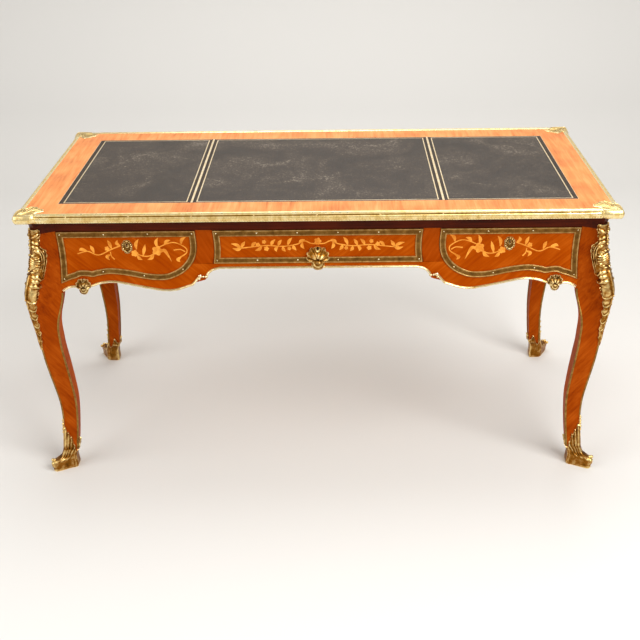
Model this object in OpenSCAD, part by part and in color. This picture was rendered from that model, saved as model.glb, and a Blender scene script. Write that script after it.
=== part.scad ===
// Writing table with a leather top, three drawers, cabriole legs and gilt brass mounts.
// Frame: X runs along the front, Y from front to back, Z up. The origin is the
// centre of the base on the floor. The front is at -Y.

/* [Overall] */
// Width over the brass edge of the top
desk_w = 1564; // [1440:2:1760]
// Depth over the brass edge of the top
desk_d = 796; // [740:2:880]
// Height of the brass edge above the floor
desk_h = 790; // [750:1:830]

/* [Top] */
// Height of the brass edge moulding
edge_h = 27; // [24:0.5:34]
// Thickness of the brass edge moulding
edge_t = 12; // [9:0.5:14]
// Rise of the moulding's bead above the wood
bead_rise = 2.5; // [1.5:0.5:4]
// Thickness of the veneered border
border_t = 2.5; // [2:0.1:4]
// Width of the veneered border
border_w = 78; // [60:1:100]
// Thickness of the leather panels
leather_t = 2; // [1:0.1:2.4]
// Width of the wood strip between two leather panels
divider_w = 12; // [8:1:20]
// Distance of each strip's centre line from the desk's centre
divider_x = 335; // [250:1:400]
// Gap round a leather panel
inlay_gap = 0.3; // [0.1:0.1:0.6]
// Length of a corner mount along each edge
corner_len = 47; // [42:1:56]
// How far a corner mount's leaf reaches over the border
leaf_len = 67; // [60:1:76]
// How far a corner mount's cushion stands out of the moulding
corner_proud = 11; // [8:1:15]
// Height of the dark cavetto under the top
cavetto_h = 39; // [30:1:46]
// How far the cavetto spreads at its top
cavetto_out = 12; // [9:1:16]
// Depth of the cavetto rail behind the front face
cavetto_depth = 37; // [32:1:46]

/* [Carcass] */
// Set-back of the aprons from the brass edge
body_inset = 53; // [48:1:58]
// Thickness of the aprons and drawer fronts
rail_t = 20; // [18:1:24]
// Width of the stile between two drawers, without its gaps
stile_w = 42; // [36:1:50]
// Thickness of the partition panel behind a stile
partition_t = 22; // [18:1:28]
// Height of the rail under the centre drawer
centre_rail_h = 15; // [12:1:20]
// Height of a drawer runner
runner_h = 20; // [16:1:22]
// Width of a runner's bearing under the drawer side
runner_bearing = 20; // [14:1:26]

/* [Drawers] */
// Width of the centre drawer front
centre_drawer_w = 560; // [500:2:600]
// Height of the centre drawer front
centre_drawer_h = 94; // [88:1:100]
// Height of a side drawer front at its outer end
side_drawer_h = 148; // [144:1:152]
// Gap round a drawer front at its sides and bottom
drawer_gap = 1; // [0.6:0.1:1.6]
// Gap above a drawer front
drawer_top_gap = 2; // [1.5:0.1:3]
// Inward bow of a drawer front's straight ends
end_bow = 4; // [1:0.5:5]
// Length of the drawer box behind its front
drawer_len = 540; // [440:5:580]
// Thickness of the drawer sides and back
drawer_side_t = 12; // [9:1:15]
// Thickness of the drawer bottom
drawer_bottom_t = 6; // [5:0.5:8]
// Rise of the drawer bottom above the sides' lower edge
drawer_bottom_rise = 4; // [3:0.5:6]
// Gap between the box's top edge and the front's top edge
box_top_drop = 6; // [4:1:10]
// Gap between a drawer side and its runner
runner_gap = 0.3; // [0.2:0.1:0.5]
// Width of the brass frame on a drawer front
frame_w = 16.5; // [13:0.5:18]
// Thickness of the brass frame
frame_t = 3.5; // [2.5:0.5:5]
// Width of the frame's edge beads
bead_w = 3; // [2:0.5:4]
// Thickness of the frame's channel between its beads
channel_t = 1.8; // [1:0.1:2.4]

/* [Locks] */
// Drop of the keyhole below the drawer front's top edge
keyhole_drop = 37; // [35:0.5:39]
// Further drop of the centre drawer's keyhole
centre_key_drop = 14; // [12:0.5:17]
// Diameter of the keyhole
keyhole_d = 5; // [4:0.5:6]
// Width of the lock case
lock_w = 50; // [40:1:60]
// Height of the lock case
lock_h = 48; // [46:1:52]
// Depth of the lock case in the drawer front
lock_t = 10; // [9:0.5:11]
// Width of the bolt
bolt_w = 22; // [16:1:28]
// Thickness of the bolt
bolt_t = 5; // [4:0.5:6]
// Length of the bolt
bolt_len = 24; // [20:1:26]
// Throw of the bolt
bolt_throw = 8; // [6:0.5:10]
// Running gap round the bolt
bolt_gap = 0.4; // [0.3:0.1:0.6]

/* [Legs] */
// Set-back of a leg's outer corner from the brass edge at the top
leg_inset = 25; // [22:1:30]
// Width of a leg at its joint with the aprons
leg_top_w = 59; // [54:1:64]
// Drop from the carcass top to the aprons' ends
knee_drop = 179; // [176:1:190]
// Width of the lower leg's faces at the thickest place
shank_w = 54; // [50:1:58]
// Width of the brass filet on a leg's arris
filet_w = 3.2; // [2.4:0.2:4]
// How far the filet stands proud
filet_proud = 1.2; // [0.8:0.1:2]

/* [Mounts] */
// Height of the sabot's collar
sabot_h = 60; // [50:1:70]
// Thickness of the sabot's wall
sabot_wall = 3.2; // [2.5:0.1:4]
// Thickness of the sabot's sole
sole_t = 10; // [6:1:14]
// Reach of the scrolled toe beyond the sabot's corner
toe_reach = 30; // [24:1:34]
// Height of the scrolled toe
toe_h = 40; // [32:1:46]
// Thickness of the sabot's leaf on the outer arris
finial_t = 5; // [3:0.5:7]
// Thickness of the knee mount at the corner
knee_mount_t = 6.5; // [5:0.5:9]
// Width of a leg's blunt corner under its knee mount
knee_corner_w = 12; // [9:0.5:15]
// Width of the apron moulding
moulding_w = 7; // [5:0.5:9]
// Thickness of the apron moulding
moulding_t = 4.5; // [3:0.5:5]
// Width of the shell pull
shell_w = 66; // [56:1:76]
// Height of the shell pull's fan
shell_h = 36; // [30:1:42]
// Height that the bulb under the fan is drawn to
bulb_h = 50; // [42:1:56]
// How far the shell pull stands out
shell_proud = 18; // [12:1:24]
// Size of the small apron shells as a share of the pull
apron_shell_scale = 0.6; // [0.5:0.05:0.7]
// Width of an escutcheon
escutcheon_w = 28; // [24:1:34]
// Height of an escutcheon
escutcheon_h = 37; // [32:1:40]
// Thickness of an escutcheon
escutcheon_t = 3; // [2:0.5:4]
// Drop of an escutcheon's middle below the keyhole
plate_drop = 7; // [5:0.5:8]
// Distance of an escutcheon from the desk's centre
escutcheon_x = 510; // [490:1:530]
// Distance of a small apron shell from the drawer's outer end
apron_shell_inset = 58; // [50:1:66]

/* [Hidden] */
$fn = 32;

// Colours
veneer = "#b9531a";
pale_veneer = "#d98a4c";
dark_wood = "#3c1606";
oak = "#b98a55";
leather_black = "#403a34";
gilt = "#c89a45";
old_gilt = "#7d6024";
steel = "#8d8f92";

// Levels and lines
wood_top = desk_h - bead_rise;
inlay_floor = wood_top - border_t;
top_bottom = desk_h - edge_h;
body_top = top_bottom - cavetto_h;
knee_z = body_top - knee_drop;
drawer_top = body_top - drawer_top_gap;
centre_bottom = drawer_top - centre_drawer_h;
joint_z = centre_bottom - drawer_gap;
arch_z = joint_z - centre_rail_h;
side_bottom = drawer_top - side_drawer_h;

top_x = desk_w / 2 - edge_t;
top_y = desk_d / 2 - edge_t;
leather_x = top_x - border_w;
leather_y = top_y - border_w;
side_shift = (desk_w - desk_d) / 2;
face_y = desk_d / 2 - body_inset;
face_x = face_y + side_shift;
leg_corner = desk_w / 2 - leg_inset;
leg_face_x = leg_corner - leg_top_w;
leg_face_y = leg_face_x - side_shift;
drawer_out = leg_face_x - drawer_gap;
centre_half = centre_drawer_w / 2;
drawer_in = centre_half + stile_w + 2 * drawer_gap;
stile_x = (centre_half + drawer_in) / 2;
front_back = face_y - rail_t;

// Catmull-Rom curve through the points p, with n steps between two of them
function curve_at(a, b, c, d, t) =
    0.5 * (2 * b + (c - a) * t + (2 * a - 5 * b + 4 * c - d) * t * t
           + (3 * b - a - 3 * c + d) * t * t * t);
function smooth(p, n) = [
    for (i = [0:len(p) - 2], k = [0:n - 1])
        curve_at(p[max(i - 1, 0)], p[i], p[i + 1], p[min(i + 2, len(p) - 1)], k / n),
    p[len(p) - 1]
];
function unit(v) = v / norm(v);
function left_of(a, b) = [a[1] - b[1], b[0] - a[0]] / norm(b - a);
function mix(a, b, t) = a * (1 - t) + b * t;
function ease(t) = t <= 0 ? 0 : t >= 1 ? 1 : t * t * (3 - 2 * t);
function reversed(p) = [for (i = [len(p) - 1:-1:0]) p[i]];
function flipped(p) = [for (q = reversed(p)) [-q[0], q[1]]];

// Moves an open path d to its left
function shift_path(p, d) = [
    for (i = [0:len(p) - 1])
        let (a = left_of(p[max(i - 1, 0)], p[max(i, 1)]),
             b = left_of(p[min(i, len(p) - 2)], p[min(i + 1, len(p) - 1)]))
        p[i] + (a + b) / (1 + a * b) * d
];

// Grows a closed outline, listed counterclockwise, by d
function grow(p, d) = [
    for (i = [0:len(p) - 1])
        let (q = p[(i + len(p) - 1) % len(p)], r = p[(i + 1) % len(p)],
             a = left_of(q, p[i]), b = left_of(p[i], r))
        p[i] - (a + b) / (1 + a * b) * d
];

// Where a path crosses the height z
function cross_x(p, z) = [
    for (i = [0:len(p) - 2])
        if ((p[i][1] - z) * (p[i + 1][1] - z) <= 0 && p[i][1] != p[i + 1][1])
            mix(p[i][0], p[i + 1][0], (z - p[i][1]) / (p[i + 1][1] - p[i][1]))
][0];

// Solid through a list of rings, each counterclockwise seen from the last ring's side
module loft(rings) {
    n = len(rings[0]);
    m = len(rings);
    polyhedron(
        points = [for (r = rings) each r],
        faces = concat(
            [[for (j = [0:n - 1]) j]],
            [[for (j = [n - 1:-1:0]) (m - 1) * n + j]],
            [for (i = [0:m - 2], j = [0:n - 1]) [i * n + j, (i + 1) * n + j, (i + 1) * n + (j + 1) % n]],
            [for (i = [0:m - 2], j = [0:n - 1]) [i * n + j, (i + 1) * n + (j + 1) % n, i * n + (j + 1) % n]]
        )
    );
}

// Box from one corner to the other
module block(low, high) {
    translate(low)
        cube(high - low);
}

// Extrudes an outline of X and Z from y0 to y1
module panel_y(y0, y1) {
    translate([0, y1, 0])
        rotate([90, 0, 0])
            linear_extrude(y1 - y0)
                children();
}

// Puts a piece drawn at +X +Y on another corner
module at_corner(sx, sy) {
    mirror([sx < 0 ? 1 : 0, 0, 0])
        mirror([0, sy < 0 ? 1 : 0, 0])
            children();
}

// Turns a piece drawn on the front round to the back
module turned(back) {
    rotate([0, 0, back ? 180 : 0])
        children();
}

// Outline of the right drawer front, first its wavy lower edge from the inner end outwards
side_edge_in = [[3, 0], [0, 40], [4, 70], [15, 94], [36, 117], [64, 133], [92, 140], [135, 138], [187, 127]];
side_edge_out = [[138, 121], [106, 125], [88, 129.5], [72, 127], [55, 127], [43, 132], [24, 138], [0, 148]];
edge_drawn_w = 373;
edge_drawn_h = 148;
edge_stretch = side_drawer_h / edge_drawn_h;
edge_run = (drawer_out - drawer_in) / edge_drawn_w;
side_edge = smooth(concat(
    [for (p = side_edge_in) [drawer_in + p[0] * edge_run, drawer_top - p[1] * edge_stretch]],
    [for (p = side_edge_out) [drawer_out - p[0] * edge_run, drawer_top - p[1] * edge_stretch]]
), 3);
bow_steps = 6;
function bow_at(z, low, high) =
    z <= low || z >= high ? 0 : end_bow * sin(180 * (z - low) / (high - low));
function bowed_end(x, low, high) = [
    for (k = [0:bow_steps])
        let (z = mix(low, high, k / bow_steps))
        [x - bow_at(z, low, high), z]
];
function but_last(p) = [for (i = [0:len(p) - 2]) p[i]];
side_end = bowed_end(drawer_out, side_bottom, drawer_top);
side_stretches = [side_end, [side_end[bow_steps], side_edge[0]], side_edge];
side_outline = [for (s = side_stretches) each but_last(s)];
centre_end = bowed_end(centre_half, centre_bottom, drawer_top);
centre_stretches = [
    centre_end, [centre_end[bow_steps], flipped(centre_end)[0]],
    flipped(centre_end), [flipped(centre_end)[bow_steps], centre_end[0]]
];
centre_outline = [for (s = centre_stretches) each but_last(s)];

// Lower line of the front and back aprons, from the right leg to the cusp under the stile
arch_outer = [[0, 0], [13, -10], [30, -16], [62, -15], [84, -18], [101, -24], [118, -28], [139, -29.5], [161, -27]];
arch_inner = [[185, -16], [146, -8], [116, -3], [84, -4.5], [51, -14.5], [31, -28]];
cusp = [[13, 34.5], [3, 31], [-2, 24], [-9, 13], [-20, 5], [-38, 0]];
arch_drawn_w = 396;
arch_run = (leg_face_x - stile_x) / arch_drawn_w;
side_arch = smooth(concat(
    [for (p = arch_outer) [leg_face_x - p[0] * arch_run, knee_z - p[1]]],
    [for (p = arch_inner) [stile_x + p[0] * arch_run, knee_z - p[1]]]
), 3);
centre_arch = smooth([for (p = cusp) [stile_x + p[0], arch_z - p[1]]], 3);
half_arch = concat(side_arch, centre_arch);
whole_arch = concat(flipped(half_arch), half_arch);

// Lower line of a side apron, as Y and Z, from its middle to the front leg
side_line_points = [[0, 52], [90, 49], [150, 41], [205, 29], [250, 21], [282, 18], [302, 11]];
side_drawn_d = 314;
side_line_run = leg_face_y / side_drawn_d;
side_line_half = smooth(concat(
    [for (p = side_line_points) [p[0] * side_line_run, knee_z + p[1]]],
    [[leg_face_y, knee_z]]
), 2);
side_line = concat(flipped(side_line_half), [for (i = [1:len(side_line_half) - 1]) side_line_half[i]]);

// Leg stations: place along the leg, bulge of the corner, width and flare of the faces.
// The place runs 0 to 1 in the sabot, 1 to 2 up to the aprons' ends and 2 to 3 in the carcass.
leg_stations = [
    [0, -11, 0.61, 3], [1, -14.5, 0.69, 3], [1.09, -17, 0.73, 3], [1.2, -19.5, 0.76, 3],
    [1.31, -17.5, 0.83, 3], [1.41, -11, 0.9, 3], [1.5, -4, 0.96, 3.5], [1.6, 3, 1, 4],
    [1.68, 7, 1, 4], [1.77, 9.5, 1, 4], [1.83, 13.5, 1, 4], [1.88, 17.5, 1, 4],
    [1.93, 20.5, 1, 4], [2, 22, 1, 4], [2.16, 19, 1, 4], [2.3, 13, 1, 4],
    [2.45, 7, 1, 4], [2.62, 3, 1, 4], [2.8, 1, 1, 4], [3, 0, 1, 4]
];
flare_start = 1.755;
knee_tip = 1.68;
face_steps = 6;
face_swing = 0.5;
face_rise = 0.35;
function leg_z(s) =
    s <= 1 ? s * sabot_h
    : s <= 2 ? mix(sabot_h, knee_z, s - 1)
    : mix(knee_z, body_top, s - 2);
function leg_blend(s) = ease((s - flare_start) / (2 - flare_start));
function corner_of(r) = leg_corner + r[1];
function front_x(r) = mix(corner_of(r) - shank_w * r[2], leg_face_x, leg_blend(r[0]))
    - bow_at(leg_z(r[0]), side_bottom, drawer_top);
function flat_x(r) = mix(corner_of(r) - shank_w * r[2], leg_face_x, leg_blend(r[0]));
function front_y(r) = mix(corner_of(r) - side_shift - r[3], face_y, leg_blend(r[0]));
function corner_point(r) = [corner_of(r), corner_of(r) - side_shift];
function front_point(r) = [front_x(r), front_y(r)];
function across(p) = [p[1] + side_shift, p[0] - side_shift];
function corner_w(r) = mix(filet_w, knee_corner_w, ease((r[0] - knee_tip) / (2 - knee_tip)));
function face_end(r) = corner_point(r) - [corner_w(r), 0];
function on_curve(f, e, t) =
    let (q = [mix(f[0], e[0], face_swing), mix(f[1], e[1], face_rise)])
    f * (1 - t) * (1 - t) + q * 2 * t * (1 - t) + e * t * t;
function on_face(r, t) = on_curve(front_point(r), face_end(r), t);
function side_start(r) = across([flat_x(r), front_y(r)]);
function on_side(r, t) = across(on_curve([flat_x(r), front_y(r)], face_end(r), t));
function inner_point(r) = [front_x(r), flat_x(r) - side_shift];

// Arris chamfers hold the brass filets and end where the aprons begin
function arris(r) = r[0] > 2 ? 0.3 : filet_w;
function face_width(r) = norm(face_end(r) - front_point(r));
function face_low(r) = arris(r) / face_width(r) * 0.8;
function leg_ring(r) =
    let (lo = face_low(r), f = front_point(r), s = side_start(r))
    concat(
        [inner_point(r)],
        [s - [arris(r), 0]],
        [for (k = [0:face_steps]) on_side(r, mix(lo, 1, k / face_steps))],
        [for (k = [face_steps:-1:0]) on_face(r, mix(lo, 1, k / face_steps))],
        [f - [0, arris(r)]]
    );
function at_height(ring, z) = [for (p = ring) [p[0], p[1], z]];
function drawn_in(ring, d) = at_height(grow(ring, -d), 0);
function rows_between(a, b) = [for (r = leg_stations) if (r[0] >= a - 0.001 && r[0] <= b + 0.001) r];
function rings_between(a, b) = [for (r = rows_between(a, b)) at_height(leg_ring(r), leg_z(r[0]))];
foot_row = leg_stations[0];
collar_row = leg_stations[1];
foot_centre = leg_corner + (foot_row[1] + collar_row[1] - shank_w * foot_row[2]) / 2;
tenon_w = shank_w * foot_row[2] - 3 * sabot_wall;

// Tenon of a leg inside its sabot
module tenon(top) {
    block([foot_centre - tenon_w / 2, foot_centre - side_shift - tenon_w / 2, sole_t],
          [foot_centre + tenon_w / 2, foot_centre - side_shift + tenon_w / 2, top]);
}

// Top

module top_board() {
    color(oak)
        block([-top_x, -top_y, top_bottom], [top_x, top_y, inlay_floor]);
}

// Panels of leather along X
leather_spans = [
    [-leather_x, -divider_x - divider_w / 2],
    [-divider_x + divider_w / 2, divider_x - divider_w / 2],
    [divider_x + divider_w / 2, leather_x]
];

module top_border() {
    color(pale_veneer)
        difference() {
            block([-top_x, -top_y, inlay_floor], [top_x, top_y, wood_top]);
            for (span = leather_spans)
                block([span[0], -leather_y, inlay_floor - 1], [span[1], leather_y, wood_top + 1]);
        }
}

module leather(span) {
    color(leather_black)
        block([span[0] + inlay_gap, -leather_y + inlay_gap, inlay_floor],
              [span[1] - inlay_gap, leather_y - inlay_gap, inlay_floor + leather_t]);
}

module leather_left() {
    leather(leather_spans[0]);
}

module leather_centre() {
    leather(leather_spans[1]);
}

module leather_right() {
    leather(leather_spans[2]);
}

// Section of the edge moulding: X outwards from the board, Y up from its foot
groove_drop = 10;
groove_h = 2;
module edge_section() {
    polygon([
        [0, 0], [edge_t - 3, 0], [edge_t - 0.6, 2], [edge_t, 5],
        [edge_t - 0.8, edge_h - groove_drop - 1], [edge_t - 2.5, edge_h - groove_drop],
        [edge_t - 2.5, edge_h - groove_drop + groove_h], [edge_t - 0.4, edge_h - groove_drop + groove_h + 1],
        [edge_t, edge_h - 5], [edge_t - 1.2, edge_h - 2], [edge_t - 4, edge_h - 0.4],
        [edge_t - 6, edge_h], [2.5, edge_h - 0.5], [0, edge_h - bead_rise]
    ]);
}

// Edge moulding drawn on the front side, half as long as half_len
module edge_strip(half_len, out) {
    color(gilt)
        translate([half_len, -out, top_bottom])
            rotate([90, 0, -90])
                linear_extrude(2 * half_len)
                    edge_section();
}

module edge_moulding_front() {
    edge_strip(desk_w / 2 - corner_len, top_y);
}

module edge_moulding_back() {
    turned(true)
        edge_strip(desk_w / 2 - corner_len, top_y);
}

module edge_moulding_left() {
    rotate([0, 0, 270])
        edge_strip(desk_d / 2 - corner_len, top_x);
}

module edge_moulding_right() {
    rotate([0, 0, 90])
        edge_strip(desk_d / 2 - corner_len, top_x);
}

// Corner mount: U and V run inwards from the corner along X and Y
cushion_half = [[corner_len, -4], [corner_len - 7, -corner_proud * 0.7], [corner_len - 22, -corner_proud],
    [10, -corner_proud]];
cushion_nose = [-corner_proud, -corner_proud] * 0.72;
cushion_path = smooth(
    concat(cushion_half, [cushion_nose], [for (p = reversed(cushion_half)) [p[1], p[0]]]), 2
);
cushion_levels = [[0, 9], [3, 4], [8, 1], [14, 0], [20, 2], [edge_h - bead_rise, 5]];
leaf_half = [[corner_len - 1, edge_t + 4], [leaf_len, 30], [leaf_len - 5, 44], [leaf_len - 17, leaf_len - 17]];
leaf_path = smooth(concat(leaf_half, [for (i = [2:-1:0]) [leaf_half[i][1], leaf_half[i][0]]]), 3);
function corner_place(p) = [desk_w / 2 - p[0], desk_d / 2 - p[1]];

module corner_mount(sx, sy) {
    color(gilt)
        at_corner(sx, sy) {
            loft([
                for (level = cushion_levels)
                    at_height(
                        [for (p = concat(
                            [[corner_len, edge_t], [edge_t, edge_t], [edge_t, corner_len]],
                            reversed(shift_path(cushion_path, -level[1]))
                        )) corner_place(p)],
                        top_bottom + level[0]
                    )
            ]);
            translate([0, 0, wood_top])
                linear_extrude(bead_rise)
                    polygon([
                        for (p = concat(
                            shift_path(cushion_path, -cushion_levels[5][1]),
                            [[edge_t, corner_len]],
                            reversed(leaf_path),
                            [[corner_len, edge_t]]
                        )) corner_place(p)
                    ]);
        }
}

module corner_mount_front_left() {
    corner_mount(-1, -1);
}

module corner_mount_front_right() {
    corner_mount(1, -1);
}

module corner_mount_back_left() {
    corner_mount(-1, 1);
}

module corner_mount_back_right() {
    corner_mount(1, 1);
}

// Cavetto: section as distance out of the body line and height above the carcass top
cavetto_fillet = 5;
cavetto_lip = 4;
cavetto_start = 2;
cavetto_turns = 5;
cavetto_section = concat(
    [[cavetto_start, 0], [cavetto_start, cavetto_fillet]],
    [for (k = [1:cavetto_turns])
        let (a = 90 * k / cavetto_turns)
        [mix(cavetto_start, cavetto_out, 1 - cos(a)),
         mix(cavetto_fillet, cavetto_h - cavetto_lip, sin(a))]],
    [[cavetto_out, cavetto_h]]
);
top_row = leg_stations[len(leg_stations) - 1];
cavetto_in = face_y - cavetto_depth;

// Ring k of a strip at the point p of the body line, which ends at end_x on the leg's blunt corner.
// The strip's inner face lies at in_y and ends a little before in_x.
inner_cut = 4;
function cavetto_ring(p, k, end_x, in_x, in_y) =
    let (share = tan(22.5) * k / face_steps, x = (in_x - inner_cut) * p[0] / end_x)
    concat(
        [[x, in_y, body_top]],
        [for (q = cavetto_section) [p[0] + q[0] * share, p[1] + q[0], body_top + q[1]]],
        [[x, in_y, top_bottom]]
    );
function mirror_ring(ring) = [for (q = ring) [-q[0], q[1], q[2]]];
function turned_ring(ring, a) = [
    for (q = ring) [q[0] * cos(a) - q[1] * sin(a), q[0] * sin(a) + q[1] * cos(a), q[2]]
];

// Rings of the back strip from the left corner to the right one, and of a side strip between corners
back_line = [for (k = [0:face_steps]) on_face(top_row, k / face_steps)];
back_end = face_end(top_row)[0];
back_half = [
    for (k = [0:face_steps]) cavetto_ring(back_line[k], k, back_end, cavetto_in + side_shift, cavetto_in)
];
side_half = [
    for (k = [0:face_steps])
        cavetto_ring(
            back_line[k] + [-side_shift, side_shift], k, back_end - side_shift, cavetto_in, cavetto_in + side_shift
        )
];
function both_halves(half) = concat([for (i = [len(half) - 1:-1:0]) mirror_ring(half[i])], half);
cavetto_rings = [
    for (a = [0, -180]) each concat(
        [for (r = both_halves(back_half)) turned_ring(r, a)],
        [for (r = both_halves(side_half)) turned_ring(r, a - 90)]
    )
];

// Closed solid through rings that lead back to the first one
module ring_loft(rings) {
    n = len(rings[0]);
    m = len(rings);
    polyhedron(
        points = [for (r = rings) each r],
        faces = [
            for (i = [0:m - 1], j = [0:n - 1])
                let (a = i * n, b = (i + 1) % m * n, k = (j + 1) % n)
                each [[a + j, b + j, b + k], [a + j, b + k, a + k]]
        ]
    );
}

module cavetto_frame() {
    color(dark_wood)
        difference() {
            ring_loft(cavetto_rings);
            for (x = [-escutcheon_x, 0, escutcheon_x])
                translate([x, -bolt_y, body_top])
                    cube([bolt_w + 2 * bolt_gap, bolt_t + 2 * bolt_gap, 2 * (bolt_throw + bolt_gap)], center = true);
        }
}

// Legs

module leg(sx, sy) {
    color(veneer)
        at_corner(sx, sy) {
            loft(rings_between(1, 3));
            tenon(sabot_h + 6);
        }
}

module leg_front_left() {
    leg(-1, -1);
}

module leg_front_right() {
    leg(1, -1);
}

module leg_back_left() {
    leg(-1, 1);
}

module leg_back_right() {
    leg(1, 1);
}

// Brass filet in the chamfer of one arris
seat_gap = 0.3;
module filet(rows, which) {
    loft([
        for (r = rows)
            let (
                lo = face_low(r),
                f = front_point(r), s = side_start(r),
                ends = which == 0 ? [on_face(r, lo), f - [0, arris(r)]]
                    : which == 1 ? [s - [arris(r), 0], on_side(r, lo)]
                    : [on_side(r, 1), on_face(r, 1)],
                away = unit([ends[1][1] - ends[0][1], ends[0][0] - ends[1][0]]),
                out = away * (filet_w / 2 + filet_proud), seat = away * seat_gap
            )
            at_height(
                [ends[0] + seat, ends[0] + seat + out * 0.75 + (ends[1] - ends[0]) * 0.1,
                 ends[1] + seat + out * 0.75 - (ends[1] - ends[0]) * 0.1, ends[1] + seat],
                leg_z(r[0])
            )
    ]);
}

finial_top = 1.2;
module leg_filets() {
    color(gilt)
        for (sx = [-1, 1], sy = [-1, 1])
            at_corner(sx, sy) {
                filet(rows_between(1, 2), 0);
                filet(rows_between(1, 2), 1);
                filet(rows_between(finial_top, knee_tip), 2);
            }
}

// Aprons

function below(path, z) = [for (p = path) if (p[1] < z - 0.01) p];
side_edge_gap = shift_path(side_edge, -drawer_gap);
stile_foot = cross_x(side_edge_gap, joint_z);
front_top_half = concat(
    [[stile_foot, joint_z]],
    below(but_last(side_edge_gap), joint_z),
    [[leg_face_x, side_bottom - drawer_gap]]
);

module front_apron() {
    color(veneer)
        panel_y(-face_y, -front_back)
            polygon(concat(whole_arch_line(), reversed(concat(flipped(front_top_half), front_top_half))));
}

// The aprons' lower line from the left leg to the right leg
function whole_arch_line() = concat([for (p = half_arch) [-p[0], p[1]]], reversed(half_arch));

module back_apron() {
    ends = [for (r = rows_between(2, 3)) [front_x(r), leg_z(r[0])]];
    edge = [for (i = [1:len(ends) - 1]) ends[i]];
    color(veneer)
        panel_y(front_back, face_y)
            polygon(concat(whole_arch_line(), edge, flipped(edge)));
}

module side_apron(side) {
    color(veneer)
        translate([side > 0 ? face_x - rail_t : -face_x, 0, 0])
            rotate([90, 0, 90])
                linear_extrude(rail_t)
                    polygon(concat(side_line, [[leg_face_y, body_top], [-leg_face_y, body_top]]));
}

module side_apron_left() {
    side_apron(-1);
}

module side_apron_right() {
    side_apron(1);
}

// Stiles between the drawers with the partition panels behind them
stile_outline = concat(
    [for (p = shift_path(centre_end, -drawer_gap)) [p[0], p[1] < centre_bottom + 0.01 ? joint_z : p[1]]],
    [[centre_half + drawer_gap, body_top], [drawer_in + side_edge_in[0][0] * edge_run - drawer_gap, body_top]],
    [for (p = side_edge_gap) if (p[1] > joint_z + 0.01) p],
    [[stile_foot, joint_z]]
);
partition_foot = arch_z + 2;

module drawer_partitions() {
    color(oak)
        for (side = [-1, 1])
            mirror([side < 0 ? 1 : 0, 0, 0]) {
                panel_y(-face_y, -front_back)
                    polygon(stile_outline);
                block([stile_x - partition_t / 2, -front_back, partition_foot],
                      [stile_x + partition_t / 2, front_back, body_top]);
            }
}

// Drawer boxes: X span, lower edge and upper edge of the sides
side_box_in = 30;
side_box_out = 7;
side_box_rise = 11;
centre_box_in = 8;
centre_box_rise = 6;
side_box_low = drawer_top - side_edge_out[0][1] * edge_stretch + side_box_rise;
centre_box_low = centre_bottom + centre_box_rise;
box_top = drawer_top - box_top_drop;
side_box = [drawer_in + side_box_in, drawer_out - side_box_out];
centre_box = [-centre_half + centre_box_in, centre_half - centre_box_in];
box_back = -front_back + drawer_len;

module drawer_runners() {
    color(oak)
        for (side = [-1, 1])
            mirror([side < 0 ? 1 : 0, 0, 0]) {
                block([centre_box[1] - runner_bearing, -front_back, centre_box_low - runner_gap - runner_h],
                      [stile_x - partition_t / 2, front_back, centre_box_low - runner_gap]);
                block([stile_x + partition_t / 2, -front_back, side_box_low - runner_gap - runner_h],
                      [side_box[0] + runner_bearing, front_back, side_box_low - runner_gap]);
                block([side_box[1] - runner_bearing, -leg_face_y, side_box_low - runner_gap - runner_h],
                      [face_x - rail_t, leg_face_y, side_box_low - runner_gap]);
            }
}

// Drawers

lock_back = 0.3;
bolt_y = front_back + lock_t / 2;
keyhole_z = drawer_top - keyhole_drop;
slot_w = 2.4;
slot_len = 9;

// Keyhole: a round hole with a slot below it, running back from the front face
module keyhole(depth, z = keyhole_z) {
    panel_y(-face_y - escutcheon_t - shell_proud - moulding_t, -face_y + depth) {
        translate([0, z])
            circle(d = keyhole_d);
        translate([-slot_w / 2, z - slot_len])
            square([slot_w, slot_len]);
    }
}

module drawer_front(outline, x, drop = 0) {
    color(veneer)
        difference() {
            panel_y(-face_y, -front_back)
                polygon(outline);
            block([x - lock_w / 2, -front_back - lock_t, drawer_top - lock_h - drop],
                  [x + lock_w / 2, -front_back + 1, drawer_top + 1]);
            translate([x, 0, 0])
                keyhole(rail_t, keyhole_z - drop);
        }
}

module drawer_box(span, low) {
    color(oak) {
        for (x = [span[0], span[1] - drawer_side_t])
            block([x, -front_back, low], [x + drawer_side_t, box_back, box_top]);
        block([span[0] + drawer_side_t, box_back - drawer_side_t, low],
              [span[1] - drawer_side_t, box_back, box_top]);
    }
}

module drawer_bottom(span, low) {
    color(oak)
        block([span[0] + drawer_side_t, -front_back, low + drawer_bottom_rise],
              [span[1] - drawer_side_t, box_back - drawer_side_t, low + drawer_bottom_rise + drawer_bottom_t]);
}

// An outline drawn in by d. Its stretches run counterclockwise and meet at its corners.
module inset(stretches, d) {
    difference() {
        polygon([for (s = stretches) each but_last(s)]);
        if (d > 0)
            for (s = stretches)
                polygon(concat(shift_path(s, -1), reversed(shift_path(s, d))));
    }
}

module outline_ring(stretches, d0, d1, y0, y1) {
    panel_y(y0, y1)
        difference() {
            inset(stretches, d0);
            inset(stretches, d1);
        }
}

module brass_frame(stretches) {
    color(old_gilt) {
        outline_ring(stretches, 0, bead_w, -face_y - frame_t, -face_y);
        outline_ring(stretches, bead_w, frame_w - bead_w, -face_y - channel_t, -face_y);
        outline_ring(stretches, frame_w - bead_w, frame_w, -face_y - frame_t, -face_y);
    }
}

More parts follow.
